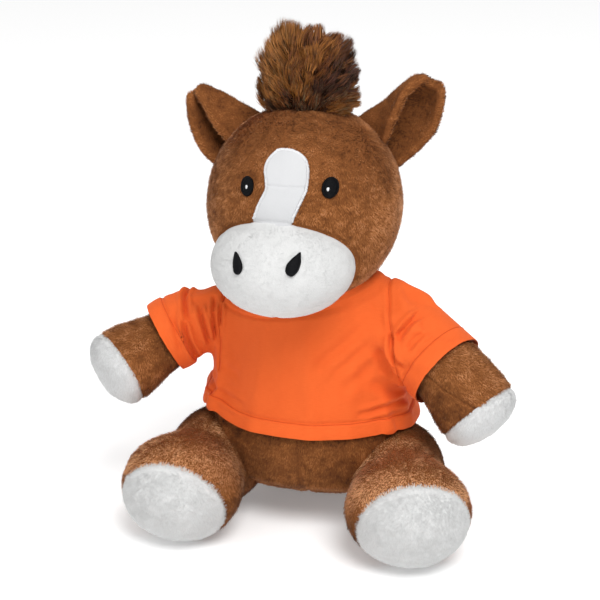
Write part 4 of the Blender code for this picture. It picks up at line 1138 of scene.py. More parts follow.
def strands(name, roots, normals, lengths, lean_to, shade, body, seed, width=0.40, curl=0.35, segments=4, clumps=None,
            gather=0.6, map_centre=None):
    """Long fur: tapering curved ribbons. lean_to: the direction each strand bends to."""
    rng = np.random.default_rng(seed)
    count = len(roots)
    d0 = unit(normals + rng.standard_normal((count, 3)) * 0.12)
    d1 = unit(lean_to + rng.standard_normal((count, 3)) * 0.16)
    t = np.linspace(0, 1, segments + 1)
    pts = [roots]
    for a, b in zip(t[:-1], t[1:]):
        w = ((a + b) / 2) ** 0.8
        d = unit(d0 * (1 - w) + d1 * w + noise_vec(roots, 4.0, seed) * curl * w)
        pts.append(pts[-1] + d * (lengths * (b - a))[:, None])
    line = np.stack(pts, 1)
    if clumps is not None:
        # tips of one clump draw together
        tips = line[:, -1]
        mean = np.zeros((clumps.max() + 1, 3))
        size = np.bincount(clumps, minlength=clumps.max() + 1)
        np.add.at(mean, clumps, tips)
        mean /= np.maximum(size, 1)[:, None]
        pull = (mean[clumps] - tips) * gather
        line = line + pull[:, None, :] * (t ** 1.6)[None, :, None]
    along = np.gradient(line, axis=1)
    view_side = unit(np.cross(along, normals[:, None, :] + rng.standard_normal((count, 1, 3)) * 0.5))
    taper = np.array([1.0, 1.05, 0.95, 0.7, 0.06])[: segments + 1] if segments == 4 else np.linspace(1, 0.06, segments + 1)
    wide = (width * (0.7 + 0.6 * rng.random(count)))[:, None] * taper[None, :] / 2
    left = line - view_side * wide[..., None]
    right = line + view_side * wide[..., None]
    pts = np.stack([left, right], 2).reshape(count, -1, 3)
    per = pts.shape[1]
    quads = []
    for k in range(segments):
        quads.append([2 * k, 2 * k + 1, 2 * k + 3])
        quads.append([2 * k, 2 * k + 3, 2 * k + 2])
    faces = (np.arange(count)[:, None, None] * per + np.array(quads)[None]).astype(np.int32)
    g = np.cross(pts[:, 1] - pts[:, 0], pts[:, 2] - pts[:, 0])
    away = (g * normals).sum(-1) < 0
    faces[away] = faces[away][:, :, ::-1]
    mesh = mesh_from(name, pts.reshape(-1, 3), faces.reshape(-1, 3))
    own = unit(np.where(away[:, None], -g, g))
    shade_n = unit(own * 0.6 + normals * 0.7)
    mesh.normals_split_custom_set_from_vertices(np.repeat(shade_n, per, axis=0).astype(np.float32))
    made = add_object(name, mesh, FUR)
    slots = np.repeat(np.clip(shade, 0, 3).astype(np.int32), len(quads))
    mesh.polygons.foreach_set("material_index", slots)
    where = sphere_map(roots, roots.mean(0) if map_centre is None else map_centre)
    uv = np.repeat(where[:, None, :], per, axis=1)
    ladder = np.repeat(np.arange(segments + 1), 2) / segments
    uv[:, :, 1] = uv[:, :, 1] * 0.9 + ladder[None, :] * 0.08
    uv[:, :, 0] = uv[:, :, 0] + np.tile([-1, 1], segments + 1)[None, :] * 0.0012
    uv = np.clip(uv, 0, 1).reshape(-1, 2)
    layer = mesh.uv_layers.new(name="OFBake")
    loops = np.empty(len(mesh.loops), np.int32)
    mesh.loops.foreach_get("vertex_index", loops)
    layer.data.foreach_set("uv", uv[loops].astype(np.float32).ravel())
    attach(made, body)
    return made


def clump_numbers(points, seed, count):
    """Nearest of a set of scattered clump centres for each point."""
    rng = np.random.default_rng(seed)
    centres = points[rng.choice(len(points), count, replace=False)]
    out = np.empty(len(points), np.int64)
    for k in range(0, len(points), 4000):
        block = points[k:k + 4000]
        out[k:k + 4000] = ((block[:, None, :] - centres[None]) ** 2).sum(-1).argmin(1)
    return out


MANE = vec(-1.2, -25.0, 194.5)
MANE_R = vec(15.2, 8.5, 17.0)
core_co = MANE + DIRS * MANE_R * (1 + 0.10 * noise(DIRS * 10, 4.0, 81))[:, None]
core_co[:, 0] += 0.06 * (core_co[:, 2] - 195.0)
core_n = vertex_normals(core_co, DIR_TRIS)
core = piece_of_skin("mane_core", core_co, DIR_TRIS, core_co[DIR_TRIS].mean(1)[:, 2] > 178.0, FUR[0], "head",
                     ("mane_tuft",))
high = smoothstep(183, 187, core_co[DIR_TRIS].mean(1)[:, 2])
p, n, f = scatter(core_co, DIR_TRIS, core_n, 9.0 * (1.0), rng, high)
groups = clump_numbers(p, 82, 260)
group_rng = np.random.default_rng(83)
count = groups.max() + 1
group_shift = group_rng.standard_normal((count, 3))[groups]
from_base = unit(p - vec(-4.0, -25.0, 180.0))
flow = from_base - n * (from_base * n).sum(-1, keepdims=True) * 0.6
rising = 0.9 * smoothstep(7.0, -4.0, p[:, 0]) * smoothstep(201, 187, p[:, 2])
way = unit(flow * 1.0 + vec(0, 0, 1) * rising[:, None] + n * 0.30 + group_shift * 0.22 + noise_vec(p, 8.0, 88) * 0.30)
long = 9.6 + 2.2 * noise(p, 9.0, 84) + 1.6 * group_rng.standard_normal(count)[groups]
q = (p - MANE) / MANE_R
peak = bump(p[:, 0], -10.5, 6.0) * smoothstep(0.2, 0.9, q[:, 2]) * 7.5
peak = peak - 3.0 * bump(p[:, 0], 1.5, 5.0) * smoothstep(0.4, 0.9, q[:, 2]) - 2.0 * smoothstep(6, 14, p[:, 0])
dark_band = np.exp(-((((p[:, 0] + 0.5) * 0.73 - (p[:, 2] - 186.0) * 0.68) / 5.5) ** 2))
shade = (1.15 + 0.85 * smoothstep(2, -9, p[:, 0]) * smoothstep(184, 192, p[:, 2]) - 1.15 * dark_band
         + 1.1 * smoothstep(3, 10, p[:, 0]) * smoothstep(197, 188, p[:, 2]) - 0.8 * smoothstep(14.5, 17.5, p[:, 0])
         + 0.5 * noise(p, 7.0, 85) + 0.38 * group_rng.standard_normal(count)[groups]
         + 0.35 * group_rng.standard_normal(len(p)))
mane = strands("mane_fur", p, n, np.maximum(long + peak, 4.0), way, np.round(shade), "head", 86, width=0.30,
               clumps=groups, gather=0.42, curl=0.45, map_centre=MANE)

TAIL = vec(0.0, 25.6, 31.0)
TAIL_DIR = unit(vec(0.0, 0.36, -0.93))
line = TAIL + TAIL_DIR * 10.0                                  # its root reaches past the joint, into the body
side_axis = vec(1, 0, 0)
up_axis = np.cross(TAIL_DIR, side_axis)
tail_co = (line + DIRS[:, :1] * side_axis * 4.2 + DIRS[:, 1:2] * up_axis * 3.6 + DIRS[:, 2:] * TAIL_DIR * -18.0)
tail_n = vertex_normals(tail_co, DIR_TRIS)
if (tail_n * (tail_co - line)).sum() < 0:
    tail_tris = DIR_TRIS[:, ::-1]
    tail_n = -tail_n
else:
    tail_tris = DIR_TRIS
tail_core = piece_of_skin("tail_core", tail_co, tail_tris, np.ones(len(tail_tris), bool), FUR[0], "tail", ("tail",))
p, n, f = scatter(tail_co, tail_tris, tail_n, 9.0 * (1.0), rng)
groups = clump_numbers(p, 92, 40)
way = unit(n * 0.35 + TAIL_DIR * 1.0)
long = 6.0 + 1.5 * noise(p, 6.0, 94)
long = np.minimum(long, np.maximum((p[:, 2] - 2.0) / 0.9, 2.0))
shade = 1.1 + 0.9 * noise(p, 8.0, 95) + 0.5 * np.random.default_rng(96).standard_normal(groups.max() + 1)[groups]
strands("tail_fur", p, n, long, way, np.round(shade), "tail", 96, width=0.30, clumps=groups, gather=0.4,
        map_centre=line)


# ------------------------------------------------------------------ shirt
SHIRT_R = [(38.0, 50.0), (47.5, 48.4), (54.0, 46.5), (66.0, 43.5), (79.0, 40.8), (91.0, 37.8), (99.0, 33.0),
           (105.0, 27.0), (112.0, 18.0)]
SLEEVE = {"left": [(vec(22, -27, 96.5), 16.0), (vec(40, -27, 95.4), 18.6), (vec(62.6, -37.0, 78.2), 16.7),
                   (vec(78.0, -43.0, 64.0), 16.5)],
          "right": [(vec(-22, -27, 91.0), 12.0), (vec(-42, -27, 93.4), 11.6), (vec(-50.5, -29.0, 89.3), 14.7),
                    (vec(-61.0, -32.5, 82.4), 15.5),
                    (vec(-78.0, -44.0, 71.0), 14.4)]}
CUFF = {"left": (vec(62.5, -36.9, 78.3), unit(vec(0.774, -0.421, -0.475))),
        "right": (vec(-63.6, -33.1, 79.8), unit(vec(-0.815, -0.36, -0.475)))}
HEM_Z = 50.2
COLLAR = (vec(1.5, -27.5, 109.0), unit(vec(-0.19, -0.10, 1.0)))


def chain_field(p, balls):
    """Distance to a chain of balls joined by straight cones."""
    best = None
    for (a, ra), (b, rb) in zip(balls[:-1], balls[1:]):
        h = np.clip(((p - a) @ (b - a)) / ((b - a) @ (b - a)), 0, 1)
        f = np.linalg.norm(p - a - h[:, None] * (b - a), axis=-1) - (ra + (rb - ra) * h)
        best = f if best is None else soft_min(best, f, 3.0)
    return best


def oval_field(p, rows, grow=0.0):
    r = table(rows, p[:, 2]) + grow
    share, shift = table(TRUNK_DEPTH, p[:, 2]), table(TRUNK_SHIFT, p[:, 2])
    return (np.hypot(p[:, 0] / r, (p[:, 1] - shift) / (r * share)) - 1) * r * 0.9


def garment_field(p):
    body = np.maximum(oval_field(p + vec(0.9, 0.0, 0.0), SHIRT_R, 0.9), p[:, 2] - 113.0)
    neck = (np.hypot((p[:, 0] - 2.0) / 27.0, (p[:, 1] + 28.0) / 22.0) - 1) * 24.0
    neck = np.maximum(np.maximum(neck, 90.0 - p[:, 2]), p[:, 2] - 130.0)
    f = soft_min(body, neck, 9.0)
    for side in ("left", "right"):
        f = soft_min(f, chain_field(p, SLEEVE[side]), 5.0 if side == "left" else 3.0)
    return f


def surface_net(field, low, high, step):
    """Quads on field = 0, one vertex in each cell of a regular grid that the surface passes through."""
    axes = [np.arange(l, h + step, step) for l, h in zip(low, high)]
    grid = np.stack(np.meshgrid(*axes, indexing="ij"), -1)
    shape = grid.shape[:3]
    value = np.concatenate([field(b) for b in np.array_split(grid.reshape(-1, 3), 12)]).reshape(shape)
    cells = tuple(k - 1 for k in shape)
    place, count = np.zeros((*cells, 3)), np.zeros(cells)
    corner = [(i, j, k) for i in (0, 1) for j in (0, 1) for k in (0, 1)]

    def part(a, c):
        return a[c[0]:c[0] + cells[0], c[1]:c[1] + cells[1], c[2]:c[2] + cells[2]]

    for a in corner:
        for axis in range(3):
            if a[axis]:
                continue
            b = tuple(1 if k == axis else a[k] for k in range(3))
            va, vb = part(value, a), part(value, b)
            cross = (va < 0) != (vb < 0)
            t = np.where(cross, va / np.where(cross, va - vb, 1.0), 0.0)[..., None]
            place += np.where(cross[..., None], part(grid, a) * (1 - t) + part(grid, b) * t, 0.0)
            count += cross
    active = count > 0
    number = np.full(cells, -1)
    number[active] = np.arange(active.sum())
    points = place[active] / count[active][:, None]
    inside = value < 0
    faces = []
    for axis in range(3):
        one, two = [k for k in range(3) if k != axis]
        lo = tuple(slice(0, -1) if k == axis else slice(1, -1) for k in range(3))
        hi = tuple(slice(1, None) if k == axis else slice(1, -1) for k in range(3))
        start, end = inside[lo], inside[hi]
        at = np.argwhere(start != end)
        cell = at.copy()
        cell[:, one] += 1
        cell[:, two] += 1
        around = []
        for d1, d2 in ((-1, -1), (0, -1), (0, 0), (-1, 0)):
            c = cell.copy()
            c[:, one] += d1
            c[:, two] += d2
            around.append(number[c[:, 0], c[:, 1], c[:, 2]])
        quad = np.stack(around, -1)
        flip = start[at[:, 0], at[:, 1], at[:, 2]] != (axis == 1)
        quad[~flip] = quad[~flip][:, ::-1]
        faces.append(quad)
    faces = np.concatenate(faces)
    return points, faces[(faces >= 0).all(1)]


def edges_of(faces):
    k = faces.shape[1]
    e = np.concatenate([np.stack([faces[:, i], faces[:, (i + 1) % k]], -1) for i in range(k)])
    return np.unique(np.sort(e, axis=1), axis=0)


def smooth_by(p, edges, share=0.5, times=1, fixed=None):
    degree = np.bincount(edges.ravel(), minlength=len(p))[:, None]
    for _ in range(times):
        total = np.zeros_like(p)
        np.add.at(total, edges[:, 0], p[edges[:, 1]])
        np.add.at(total, edges[:, 1], p[edges[:, 0]])
        moved = p + (total / np.maximum(degree, 1) - p) * share
        p = moved if fixed is None else np.where(fixed[:, None], p, moved)
    return p


def cut_garment(points, faces):
    """Open the closed form at the hem, the collar and the two cuffs."""
    made = bmesh.new()
    verts = [made.verts.new(v) for v in points]
    for f in faces:
        made.faces.new([verts[k] for k in f])
    made.normal_update()

    def slice_at(where, co, no):
        chosen = [f for f in made.faces if where(np.array(f.calc_center_median()))]
        geom = set(chosen)
        for f in chosen:
            geom.update(f.edges)
            geom.update(f.verts)
        cut = bmesh.ops.bisect_plane(made, geom=list(geom), dist=0.15, plane_co=co, plane_no=no, clear_outer=False)
        inside = [f for f in made.faces if where(np.array(f.calc_center_median()), 1.0)
                  and (np.array(f.calc_center_median()) - co) @ no > 0]
        bmesh.ops.delete(made, geom=inside, context="FACES")

    slice_at(lambda c, more=0.0: c[2] < 60, vec(0, 0, HEM_Z), vec(0, 0, -1))
    slice_at(lambda c, more=0.0: math.hypot((c[0] - 2.5) / 1.25, c[1] + 28) < 27 + more and c[2] > 96, *COLLAR)
    for side in ("left", "right"):
        s = 1 if side == "left" else -1
        co, no = CUFF[side]
        slice_at(lambda c, more=0.0: s * c[0] > 44 - more and ((c - co) @ no) > -6 - more
                 and np.linalg.norm((c - co) - no * ((c - co) @ no)) < 26 + more, co, no)
    # the largest connected part
    made.verts.ensure_lookup_table()
    seen, best = set(), []
    for v in made.verts:
        if v.index in seen or not v.link_faces:
            continue
        stack, group = [v], []
        seen.add(v.index)
        while stack:
            w = stack.pop()
            group.append(w)
            for e in w.link_edges:
                o = e.other_vert(w)
                if o.index not in seen:
                    seen.add(o.index)
                    stack.append(o)
        if len(group) > len(best):
            best = group
    keep = set(best)
    bmesh.ops.delete(made, geom=[v for v in made.verts if v not in keep], context="VERTS")
    bmesh.ops.remove_doubles(made, verts=made.verts[:], dist=0.05)
    return made


def drape(made, colliders, frames, slack, pins, spare):
    """Let the cloth hang on the forms for some frames, ten times life size, and return its points in mm."""
    up = 10.0
    mesh = bpy.data.meshes.new("drape_cloth")
    made.to_mesh(mesh)
    co = np.empty(len(mesh.vertices) * 3)
    mesh.vertices.foreach_get("co", co)
    mesh.vertices.foreach_set("co", (co * MM * up).astype(np.float32))
    cloth = bpy.data.objects.new("drape_cloth", mesh)
    COLLECTION.objects.link(cloth)
    group = cloth.vertex_groups.new(name="pin")
    for k, w in enumerate(pins):
        if w > 0:
            group.add([k], float(w), "REPLACE")
    group = cloth.vertex_groups.new(name="spare")
    for k, w in enumerate(spare):
        group.add([k], float(w), "REPLACE")
    solid = []
    for k, (c, t) in enumerate(colliders):
        body = bpy.data.objects.new(f"drape_form_{k}", mesh_from(f"drape_form_{k}", c * up, t))
        COLLECTION.objects.link(body)
        body.modifiers.new("Collision", "COLLISION")
        body.collision.thickness_outer = 0.006
        body.collision.thickness_inner = 0.05
        body.collision.cloth_friction = 8.0
        body.collision.damping = 0.3
        solid.append(body)
    wear = cloth.modifiers.new("Cloth", "CLOTH")
    setting = wear.settings
    setting.quality = 6
    setting.mass = 0.25
    setting.air_damping = 3.0
    setting.tension_stiffness = 25
    setting.compression_stiffness = 25
    setting.shear_stiffness = 8
    setting.bending_stiffness = 0.6
    setting.tension_damping = setting.compression_damping = setting.shear_damping = 10
    setting.shrink_min, setting.shrink_max = -slack[0], -slack[1]
    setting.vertex_group_shrink = "spare"
    setting.vertex_group_mass = "pin"
    setting.pin_stiffness = 1.0
    wear.collision_settings.use_self_collision = False
    wear.collision_settings.distance_min = 0.006
    wear.collision_settings.collision_quality = 3
    scene = bpy.context.scene
    scene.gravity = (0, 0, -9.81)
    wear.point_cache.frame_start, wear.point_cache.frame_end = 1, frames + 1
    for frame_number in range(1, frames + 1):
        scene.frame_set(frame_number)
    deps = bpy.context.evaluated_depsgraph_get()
    done = cloth.evaluated_get(deps).to_mesh()
    out = np.empty(len(done.vertices) * 3, np.float32)
    done.vertices.foreach_get("co", out)
    out = out.reshape(-1, 3).astype(float) / MM / up
    cloth.evaluated_get(deps).to_mesh_clear()
    for body in (cloth, *solid):
        data = body.data
        bpy.data.objects.remove(body)
        bpy.data.meshes.remove(data)
    scene.frame_set(1)
    return out


def boundary_loops(faces):
    """Ordered rings of vertex numbers along the open edges."""
    count = {}
    for f in faces:
        for i in range(len(f)):
            e = (f[i], f[(i + 1) % len(f)])
            count[e] = count.get(e, 0) + 1
    follow = {}
    for (i, j) in count:
        if (j, i) not in count:
            follow[i] = j
    rings = []
    while follow:
        start = min(follow)
        ring, at = [start], follow.pop(start)
        while at != start and at in follow:
            ring.append(at)
            at = follow.pop(at)
        if len(ring) > 8:
            rings.append(np.array(ring))
    return rings


def line_distance(p, line):
    """Distance from points to a 3-D polyline, and how far along it (0 to 1) the nearest point lies."""
    best = np.full(len(p), 1e9)
    along = np.zeros(len(p))
    step = np.linalg.norm(np.diff(line, axis=0), axis=1)
    start = np.concatenate([[0], np.cumsum(step)])
    for k in range(len(line) - 1):
        a, b = line[k], line[k + 1]
        h = np.clip(((p - a) @ (b - a)) / max((b - a) @ (b - a), 1e-9), 0, 1)
        d = np.linalg.norm(p - a - h[:, None] * (b - a), axis=-1)
        nearer = d < best
        best = np.where(nearer, d, best)
        along = np.where(nearer, (start[k] + h * step[k]) / start[-1], along)
    return best, along


def ring_distance(p, ring, reach=14.0):
    """Distance from points to a closed ring of points, only worked out near it."""
    out = np.full(len(p), 1e3)
    low, high = ring.min(0) - reach, ring.max(0) + reach
    near = np.where(((p > low) & (p < high)).all(1))[0]
    a, b = ring, np.roll(ring, -1, axis=0)
    for part in np.array_split(near, max(1, len(near) // 4000)):
        q = p[part][:, None, :]
        h = np.clip(((q - a) * (b - a)).sum(-1) / np.maximum(((b - a) ** 2).sum(-1), 1e-9), 0, 1)
        out[part] = np.linalg.norm(q - a - h[..., None] * (b - a), axis=-1).min(1)
    return out


def body_field(p):
    """What is under the shirt: the trunk, the arms, the thighs and the head, without their pile."""
    f = oval_field(p, TRUNK)
    for side in ("left", "right"):
        t = np.linspace(0, 1, 9)
        centre = arm_line(side, t)
        radius = table([(q / 51.0, w) for q, w in ARM_R[side]], t)
        f = np.minimum(f, chain_field(p, list(zip(centre, radius))))
        f = np.minimum(f, np.linalg.norm(p - THIGH[side], axis=-1) - 20.8)
    return np.minimum(f, np.linalg.norm(p - HEAD, axis=-1) - HEAD_R)


points, quads = surface_net(garment_field, (-96, -68, 36), (96, 40, 132), 2.4)
net_edges = edges_of(quads)
for _ in range(4):
    points = smooth_by(points, net_edges, 0.5)
    points = onto(garment_field, points, 2)
made = cut_garment(points, quads)
made.verts.ensure_lookup_table()
made.verts.index_update()
shirt_co = np.array([v.co[:] for v in made.verts])
rim = np.array([v.is_boundary for v in made.verts])


def near_collar(p):
    return ((p - COLLAR[0]) @ COLLAR[1] > -6) & (np.hypot((p[:, 0] - 2.5) / 1.25, p[:, 1] + 28) < 30)


def near_cuff(p, side, depth=2.5):
    co, no = CUFF[side]
    off = (p - co) @ no
    s = 1 if side == "left" else -1
    return (off > -depth) & (s * p[:, 0] > 44) & (np.linalg.norm((p - co) - off[:, None] * no, axis=-1) < 24)


pins = (near_collar(shirt_co) & (rim | ((shirt_co - COLLAR[0]) @ COLLAR[1] > -2.0))).astype(float)
for side in ("left", "right"):
    pins = np.maximum(pins, near_cuff(shirt_co, side, 1.5) * 1.0)
pins = np.maximum(pins, near_cuff(shirt_co, "right", 12.0) * (shirt_co[:, 2] > CUFF["right"][0][2] + 6.0))
# more spare cloth in the sleeves and under the arms than on the chest
spare = np.clip(smoothstep(30, 44, np.abs(shirt_co[:, 0])) * smoothstep(60, 72, shirt_co[:, 2]), 0, 1)


def coarse_colliders():
    """The forms under the shirt, a little fuller than the fabric so that the pile has room."""
    a, z = 112, 44
    th = np.arange(a) * 2 * np.pi / a
    rows = np.linspace(1.0, 103.5, z)
    r, share, shift = trunk_radii(rows)
    r = r + 0.5
    body = np.stack([r[:, None] * np.cos(th), (r * share)[:, None] * np.sin(th) + shift[:, None],
                     np.repeat(rows[:, None], a, 1)], -1).reshape(-1, 3)
    body = np.concatenate([body, [[0, 0, 0.5], [0, -26, 104.5]]])
    out = [(body, tube_faces(a, z))]
    for side in ("left", "right"):
        t = np.linspace(0, 1.0, 16)
        centre, ring, along, _ = arm_grid(side, 28, {"t": t})
        radius = table([(q / 51.0, w) for q, w in ARM_R[side]], t) + 0.4
        co = (centre[:, None] + ring * radius[:, None, None]).reshape(-1, 3)
        co = np.concatenate([co, [centre[0] - along[0] * 6], [centre[-1] + along[-1] * 8]])
        out.append((co, tube_faces(28, 16)))
        low, tri = ball_directions(3)
        co = star_surface(FOOT[side] * 0.55 + THIGH[side] * 0.45, low, leg_field(side), reach=60.0)
        out.append((co, tri))
    low, tri = ball_directions(3)
    out.append((HEAD + low * (HEAD_R + 0.6), tri))
    fixed = []
    for co, tri in out:
        if (vertex_normals(co, tri) * (co - co.mean(0))).sum() < 0:
            tri = tri[:, ::-1]
        fixed.append((co, tri))
    return fixed


hung = drape(made, coarse_colliders(), 26, (0.008, 0.06), pins, spare)
moved = hung - shirt_co
size = np.linalg.norm(moved, axis=1, keepdims=True)
hung = shirt_co + moved * np.minimum(1.0, 6.0 / np.maximum(size, 1e-6))
faces = [[v.index for v in f.verts] for f in made.faces]
made.free()
coarse_edges = np.unique(np.sort(np.array([(f[i], f[(i + 1) % len(f)]) for f in faces for i in range(len(f))]), 1), axis=0)
hung = smooth_by(hung, coarse_edges, 0.35, 2, fixed=rim)
hung = smooth_by(hung, coarse_edges[rim[coarse_edges].all(1)], 0.5, 5, fixed=~rim)
on_chest = (np.abs(hung[:, 0]) < 33) & (hung[:, 2] < 104) & ~rim
hung = smooth_by(hung, coarse_edges, 0.5, 8, fixed=~on_chest)


def subdivided(co, faces, levels):
    mesh = bpy.data.meshes.new("work")
    mesh.from_pydata([tuple(v * MM) for v in co], [], faces)
    held = bpy.data.objects.new("work", mesh)
    COLLECTION.objects.link(held)
    finer = held.modifiers.new("finer", "SUBSURF")
    finer.levels = finer.render_levels = levels
    deps = bpy.context.evaluated_depsgraph_get()
    done = held.evaluated_get(deps).to_mesh()
    out = np.empty(len(done.vertices) * 3, np.float32)
    done.vertices.foreach_get("co", out)
    quads = np.empty(len(done.loops), np.int32)
    done.loops.foreach_get("vertex_index", quads)
    held.evaluated_get(deps).to_mesh_clear()
    bpy.data.objects.remove(held)
    bpy.data.meshes.remove(mesh)
    return out.reshape(-1, 3).astype(float) / MM, quads.reshape(-1, 4)


def quad_normals(co, quads):
    return vertex_normals(co, np.concatenate([quads[:, [0, 1, 2]], quads[:, [0, 2, 3]]]))


co, quads = subdivided(hung, faces, 2)
normals = quad_normals(co, quads)
if (normals * (co - vec(0, -25, 85))).sum() < 0:
    quads, normals = quads[:, ::-1].copy(), -normals

# sharper folds and creases, as lines on the shirt: points (mm), depth, half width, ridge beside it
CREASES = [
    # left sleeve, from the armhole outwards
    ([(41.6, -45.6, 92.6), (44.0, -44.0, 96.6), (46.8, -41.4, 99.9), (49.9, -38.5, 102.5), (53.4, -34.5, 103.8)], 2.0, 1.2, 1.1),
    ([(46.3, -47.3, 89.5), (49.0, -46.6, 93.5), (51.9, -44.4, 96.1), (55.0, -42.7, 98.0)], 1.0, 1.1, 0.6),
    ([(39.4, -44.0, 97.0), (39.6, -44.5, 94.0), (40.4, -44.9, 88.0), (42.9, -46.2, 84.0), (46.4, -47.7, 81.6)], 1.8, 1.0, 0.8),
    ([(33.5, -44.5, 90.5), (35.6, -43.3, 85.0), (38.4, -41.5, 80.0), (42.5, -41.5, 74.5), (46.8, -42.5, 69.5)], 2.4, 2.3, 0.9),
    # drag lines over the chest
    ([(33.4, -41.8, 103.7), (23.6, -45.1, 93.2), (15.5, -49.3, 86.3), (9.6, -51.8, 80.8), (4.7, -54.7, 74.6)], 0.65, 2.3, 0.5),
    ([(34.9, -44.0, 97.0), (27.4, -44.3, 87.4), (20.8, -47.8, 80.8), (15.1, -51.0, 76.0)], 0.5, 2.0, 0.4),
    ([(35.0, -42.0, 84.0), (28.0, -45.5, 76.0), (19.0, -50.0, 69.5)], 0.5, 2.4, 0.4),
    ([(30.7, -42.7, 74.3), (37.0, -39.0, 68.7), (43.4, -30.3, 63.0)], 1.0, 2.4, 0.7),
    ([(24.0, -49.0, 58.6), (32.1, -44.3, 58.9), (37.5, -40.9, 60.7), (42.2, -33.2, 60.8), (44.0, -22.0, 59.0)], 1.1, 1.2, 0.8),
    # right sleeve: loops of slack pushed up towards the shoulder
    ([(-51.5, -22.0, 103.0), (-53.8, -26.5, 102.6), (-54.6, -31.0, 101.4), (-54.0, -35.2, 100.4), (-52.5, -38.8, 98.5),
      (-51.5, -40.9, 95.0), (-49.3, -42.0, 91.5), (-47.1, -43.5, 88.6)], 2.3, 1.0, 1.2),
    ([(-53.5, -40.5, 94.5), (-51.9, -42.0, 91.0), (-51.2, -43.6, 87.4), (-50.2, -43.8, 84.0), (-49.6, -42.0, 80.6),
      (-48.6, -39.5, 76.4), (-47.6, -36.0, 73.6)], 2.2, 1.0, 1.5),
    ([(-47.0, -36.0, 98.5), (-45.5, -39.4, 94.8), (-43.8, -41.0, 91.1), (-42.3, -41.9, 87.6), (-41.6, -40.8, 84.4),
      (-40.8, -38.8, 80.0)], 1.9, 0.95, 1.3),
    ([(-41.6, -32.3, 102.6), (-40.2, -36.0, 99.6), (-39.6, -38.5, 95.6), (-39.1, -40.2, 91.7), (-38.4, -40.8, 86.5),
      (-39.4, -39.5, 81.5)], 1.6, 0.85, 1.0),
    ([(-38.9, -34.4, 101.8), (-37.4, -37.5, 97.1), (-36.6, -38.8, 92.6), (-36.9, -39.4, 89.5)], 1.1, 0.9, 0.6),
    ([(-56.5, -38.5, 94.8), (-56.6, -41.8, 89.5), (-55.0, -44.0, 84.0), (-53.6, -43.5, 79.0)], 0.7, 1.1, 0.5),
    ([(-37.5, -37.0, 76.0), (-36.9, -39.5, 72.8), (-31.8, -42.4, 71.2), (-25.7, -46.5, 70.6)], 0.5, 1.8, 0.3),
    ([(-44.5, -24.0, 61.5), (-42.5, -34.5, 61.0), (-37.0, -40.5, 60.0), (-29.0, -46.0, 58.6), (-19.0, -50.5, 57.8)], 0.8, 1.6, 0.6),
    # behind: slack across the shoulders and under the arms
    ([(-35.0, -8.0, 92.0), (-24.0, -2.0, 84.0), (-12.0, 3.0, 78.0)], 0.8, 2.6, 0.6),
    ([(36.0, -6.0, 94.0), (26.0, 0.0, 86.0), (14.0, 5.0, 80.0)], 0.8, 2.6, 0.6),
    ([(41.0, -12.0, 78.0), (35.0, 0.0, 72.0), (25.0, 9.0, 68.0)], 0.9, 2.4, 0.7),
    ([(-41.0, -14.0, 76.0), (-35.0, -1.0, 70.0), (-24.0, 9.0, 66.0)], 0.9, 2.4, 0.7),
]

# the hem turns up and outwards at the sides
low = smoothstep(63.0, 52.5, co[:, 2])
at_left, at_right = smoothstep(-24.0, -43.0, co[:, 0]) * low, smoothstep(34.0, 44.0, co[:, 0]) * low
co = co + np.stack([1.4 * at_right - 2.6 * at_left, 0 * low, 3.4 * at_left + 0.4 * at_right], -1)

nearest = KDTree(len(co))
for k, v in enumerate(co):
    nearest.insert(v, k)
nearest.balance()


def on_shirt(line):
    """The line resampled finely and laid onto the shirt."""
    line = np.array(line, float)
    far = np.concatenate([[0], np.cumsum(np.linalg.norm(np.diff(line, axis=0), axis=1))])
    at = np.linspace(0, far[-1], max(int(far[-1] / 1.0), 6))
    row = np.stack([np.interp(at, far, line[:, k]) for k in range(3)], -1)
    row = np.array([co[nearest.find(q)[1]] for q in row])
    for _ in range(4):
        row[1:-1] = (row[:-2] + 2 * row[1:-1] + row[2:]) / 4
    return row


push = np.zeros(len(co))
for line, depth, wide, ridge in CREASES:
    d, along = line_distance(co, on_shirt(line))
    ends = smoothstep(0.0, 0.22, along) * smoothstep(1.0, 0.75, along)
    push -= depth * np.exp(-(d / wide) ** 2) * ends
    push += ridge * np.exp(-((d - 2.1 * wide) / (1.1 * wide)) ** 2) * ends
co = co + normals * push[:, None]

# hems, cuffs and the neck band: a second layer with a sewn line at its upper edge
rings = boundary_loops([list(q) for q in quads])
EDGE = {}
for ring in rings:
    middle = co[ring].mean(0)
    if middle[2] < 62:
        EDGE["hem"] = ring
    elif abs(middle[0]) < 20:
        EDGE["collar"] = ring
    else:
        EDGE["cuff_left" if middle[0] > 0 else "cuff_right"] = ring
BAND = {"hem": (6.0, 1.0), "collar": (4.2, 0.0), "cuff_left": (7.6, 0.2), "cuff_right": (6.8, 0.0)}
normals = quad_normals(co, quads)
lift = 0.25 * noise(co, 17.0, 101) + 0.10 * noise(co, 6.0, 102)
band_at = {}
for name, ring in EDGE.items():
    wide, flare = BAND[name]
    d = ring_distance(co, co[ring])
    band_at[name] = d
    lift = lift + 0.55 * smoothstep(wide + 0.35, wide - 0.45, d) + flare * smoothstep(wide, 0, d)
    lift = lift - 0.55 * bump(d, wide + 0.75, 0.75)
    lift = lift + 0.10 * smoothstep(wide, wide - 1, d) * noise(co, 3.0, 103)
for side in ("left", "right"):
    at, no = ARMHOLE[side]
    off = (co - at) @ no
    near = (np.abs(co[:, 0]) > 30) & (co[:, 2] > 70)
    lift = lift - near * 0.75 * bump(off, 0.0, 0.7) + near * 0.35 * bump(off, -1.7, 0.9) + near * 0.20 * bump(off, 1.6, 0.9)
co = co + normals * lift[:, None]

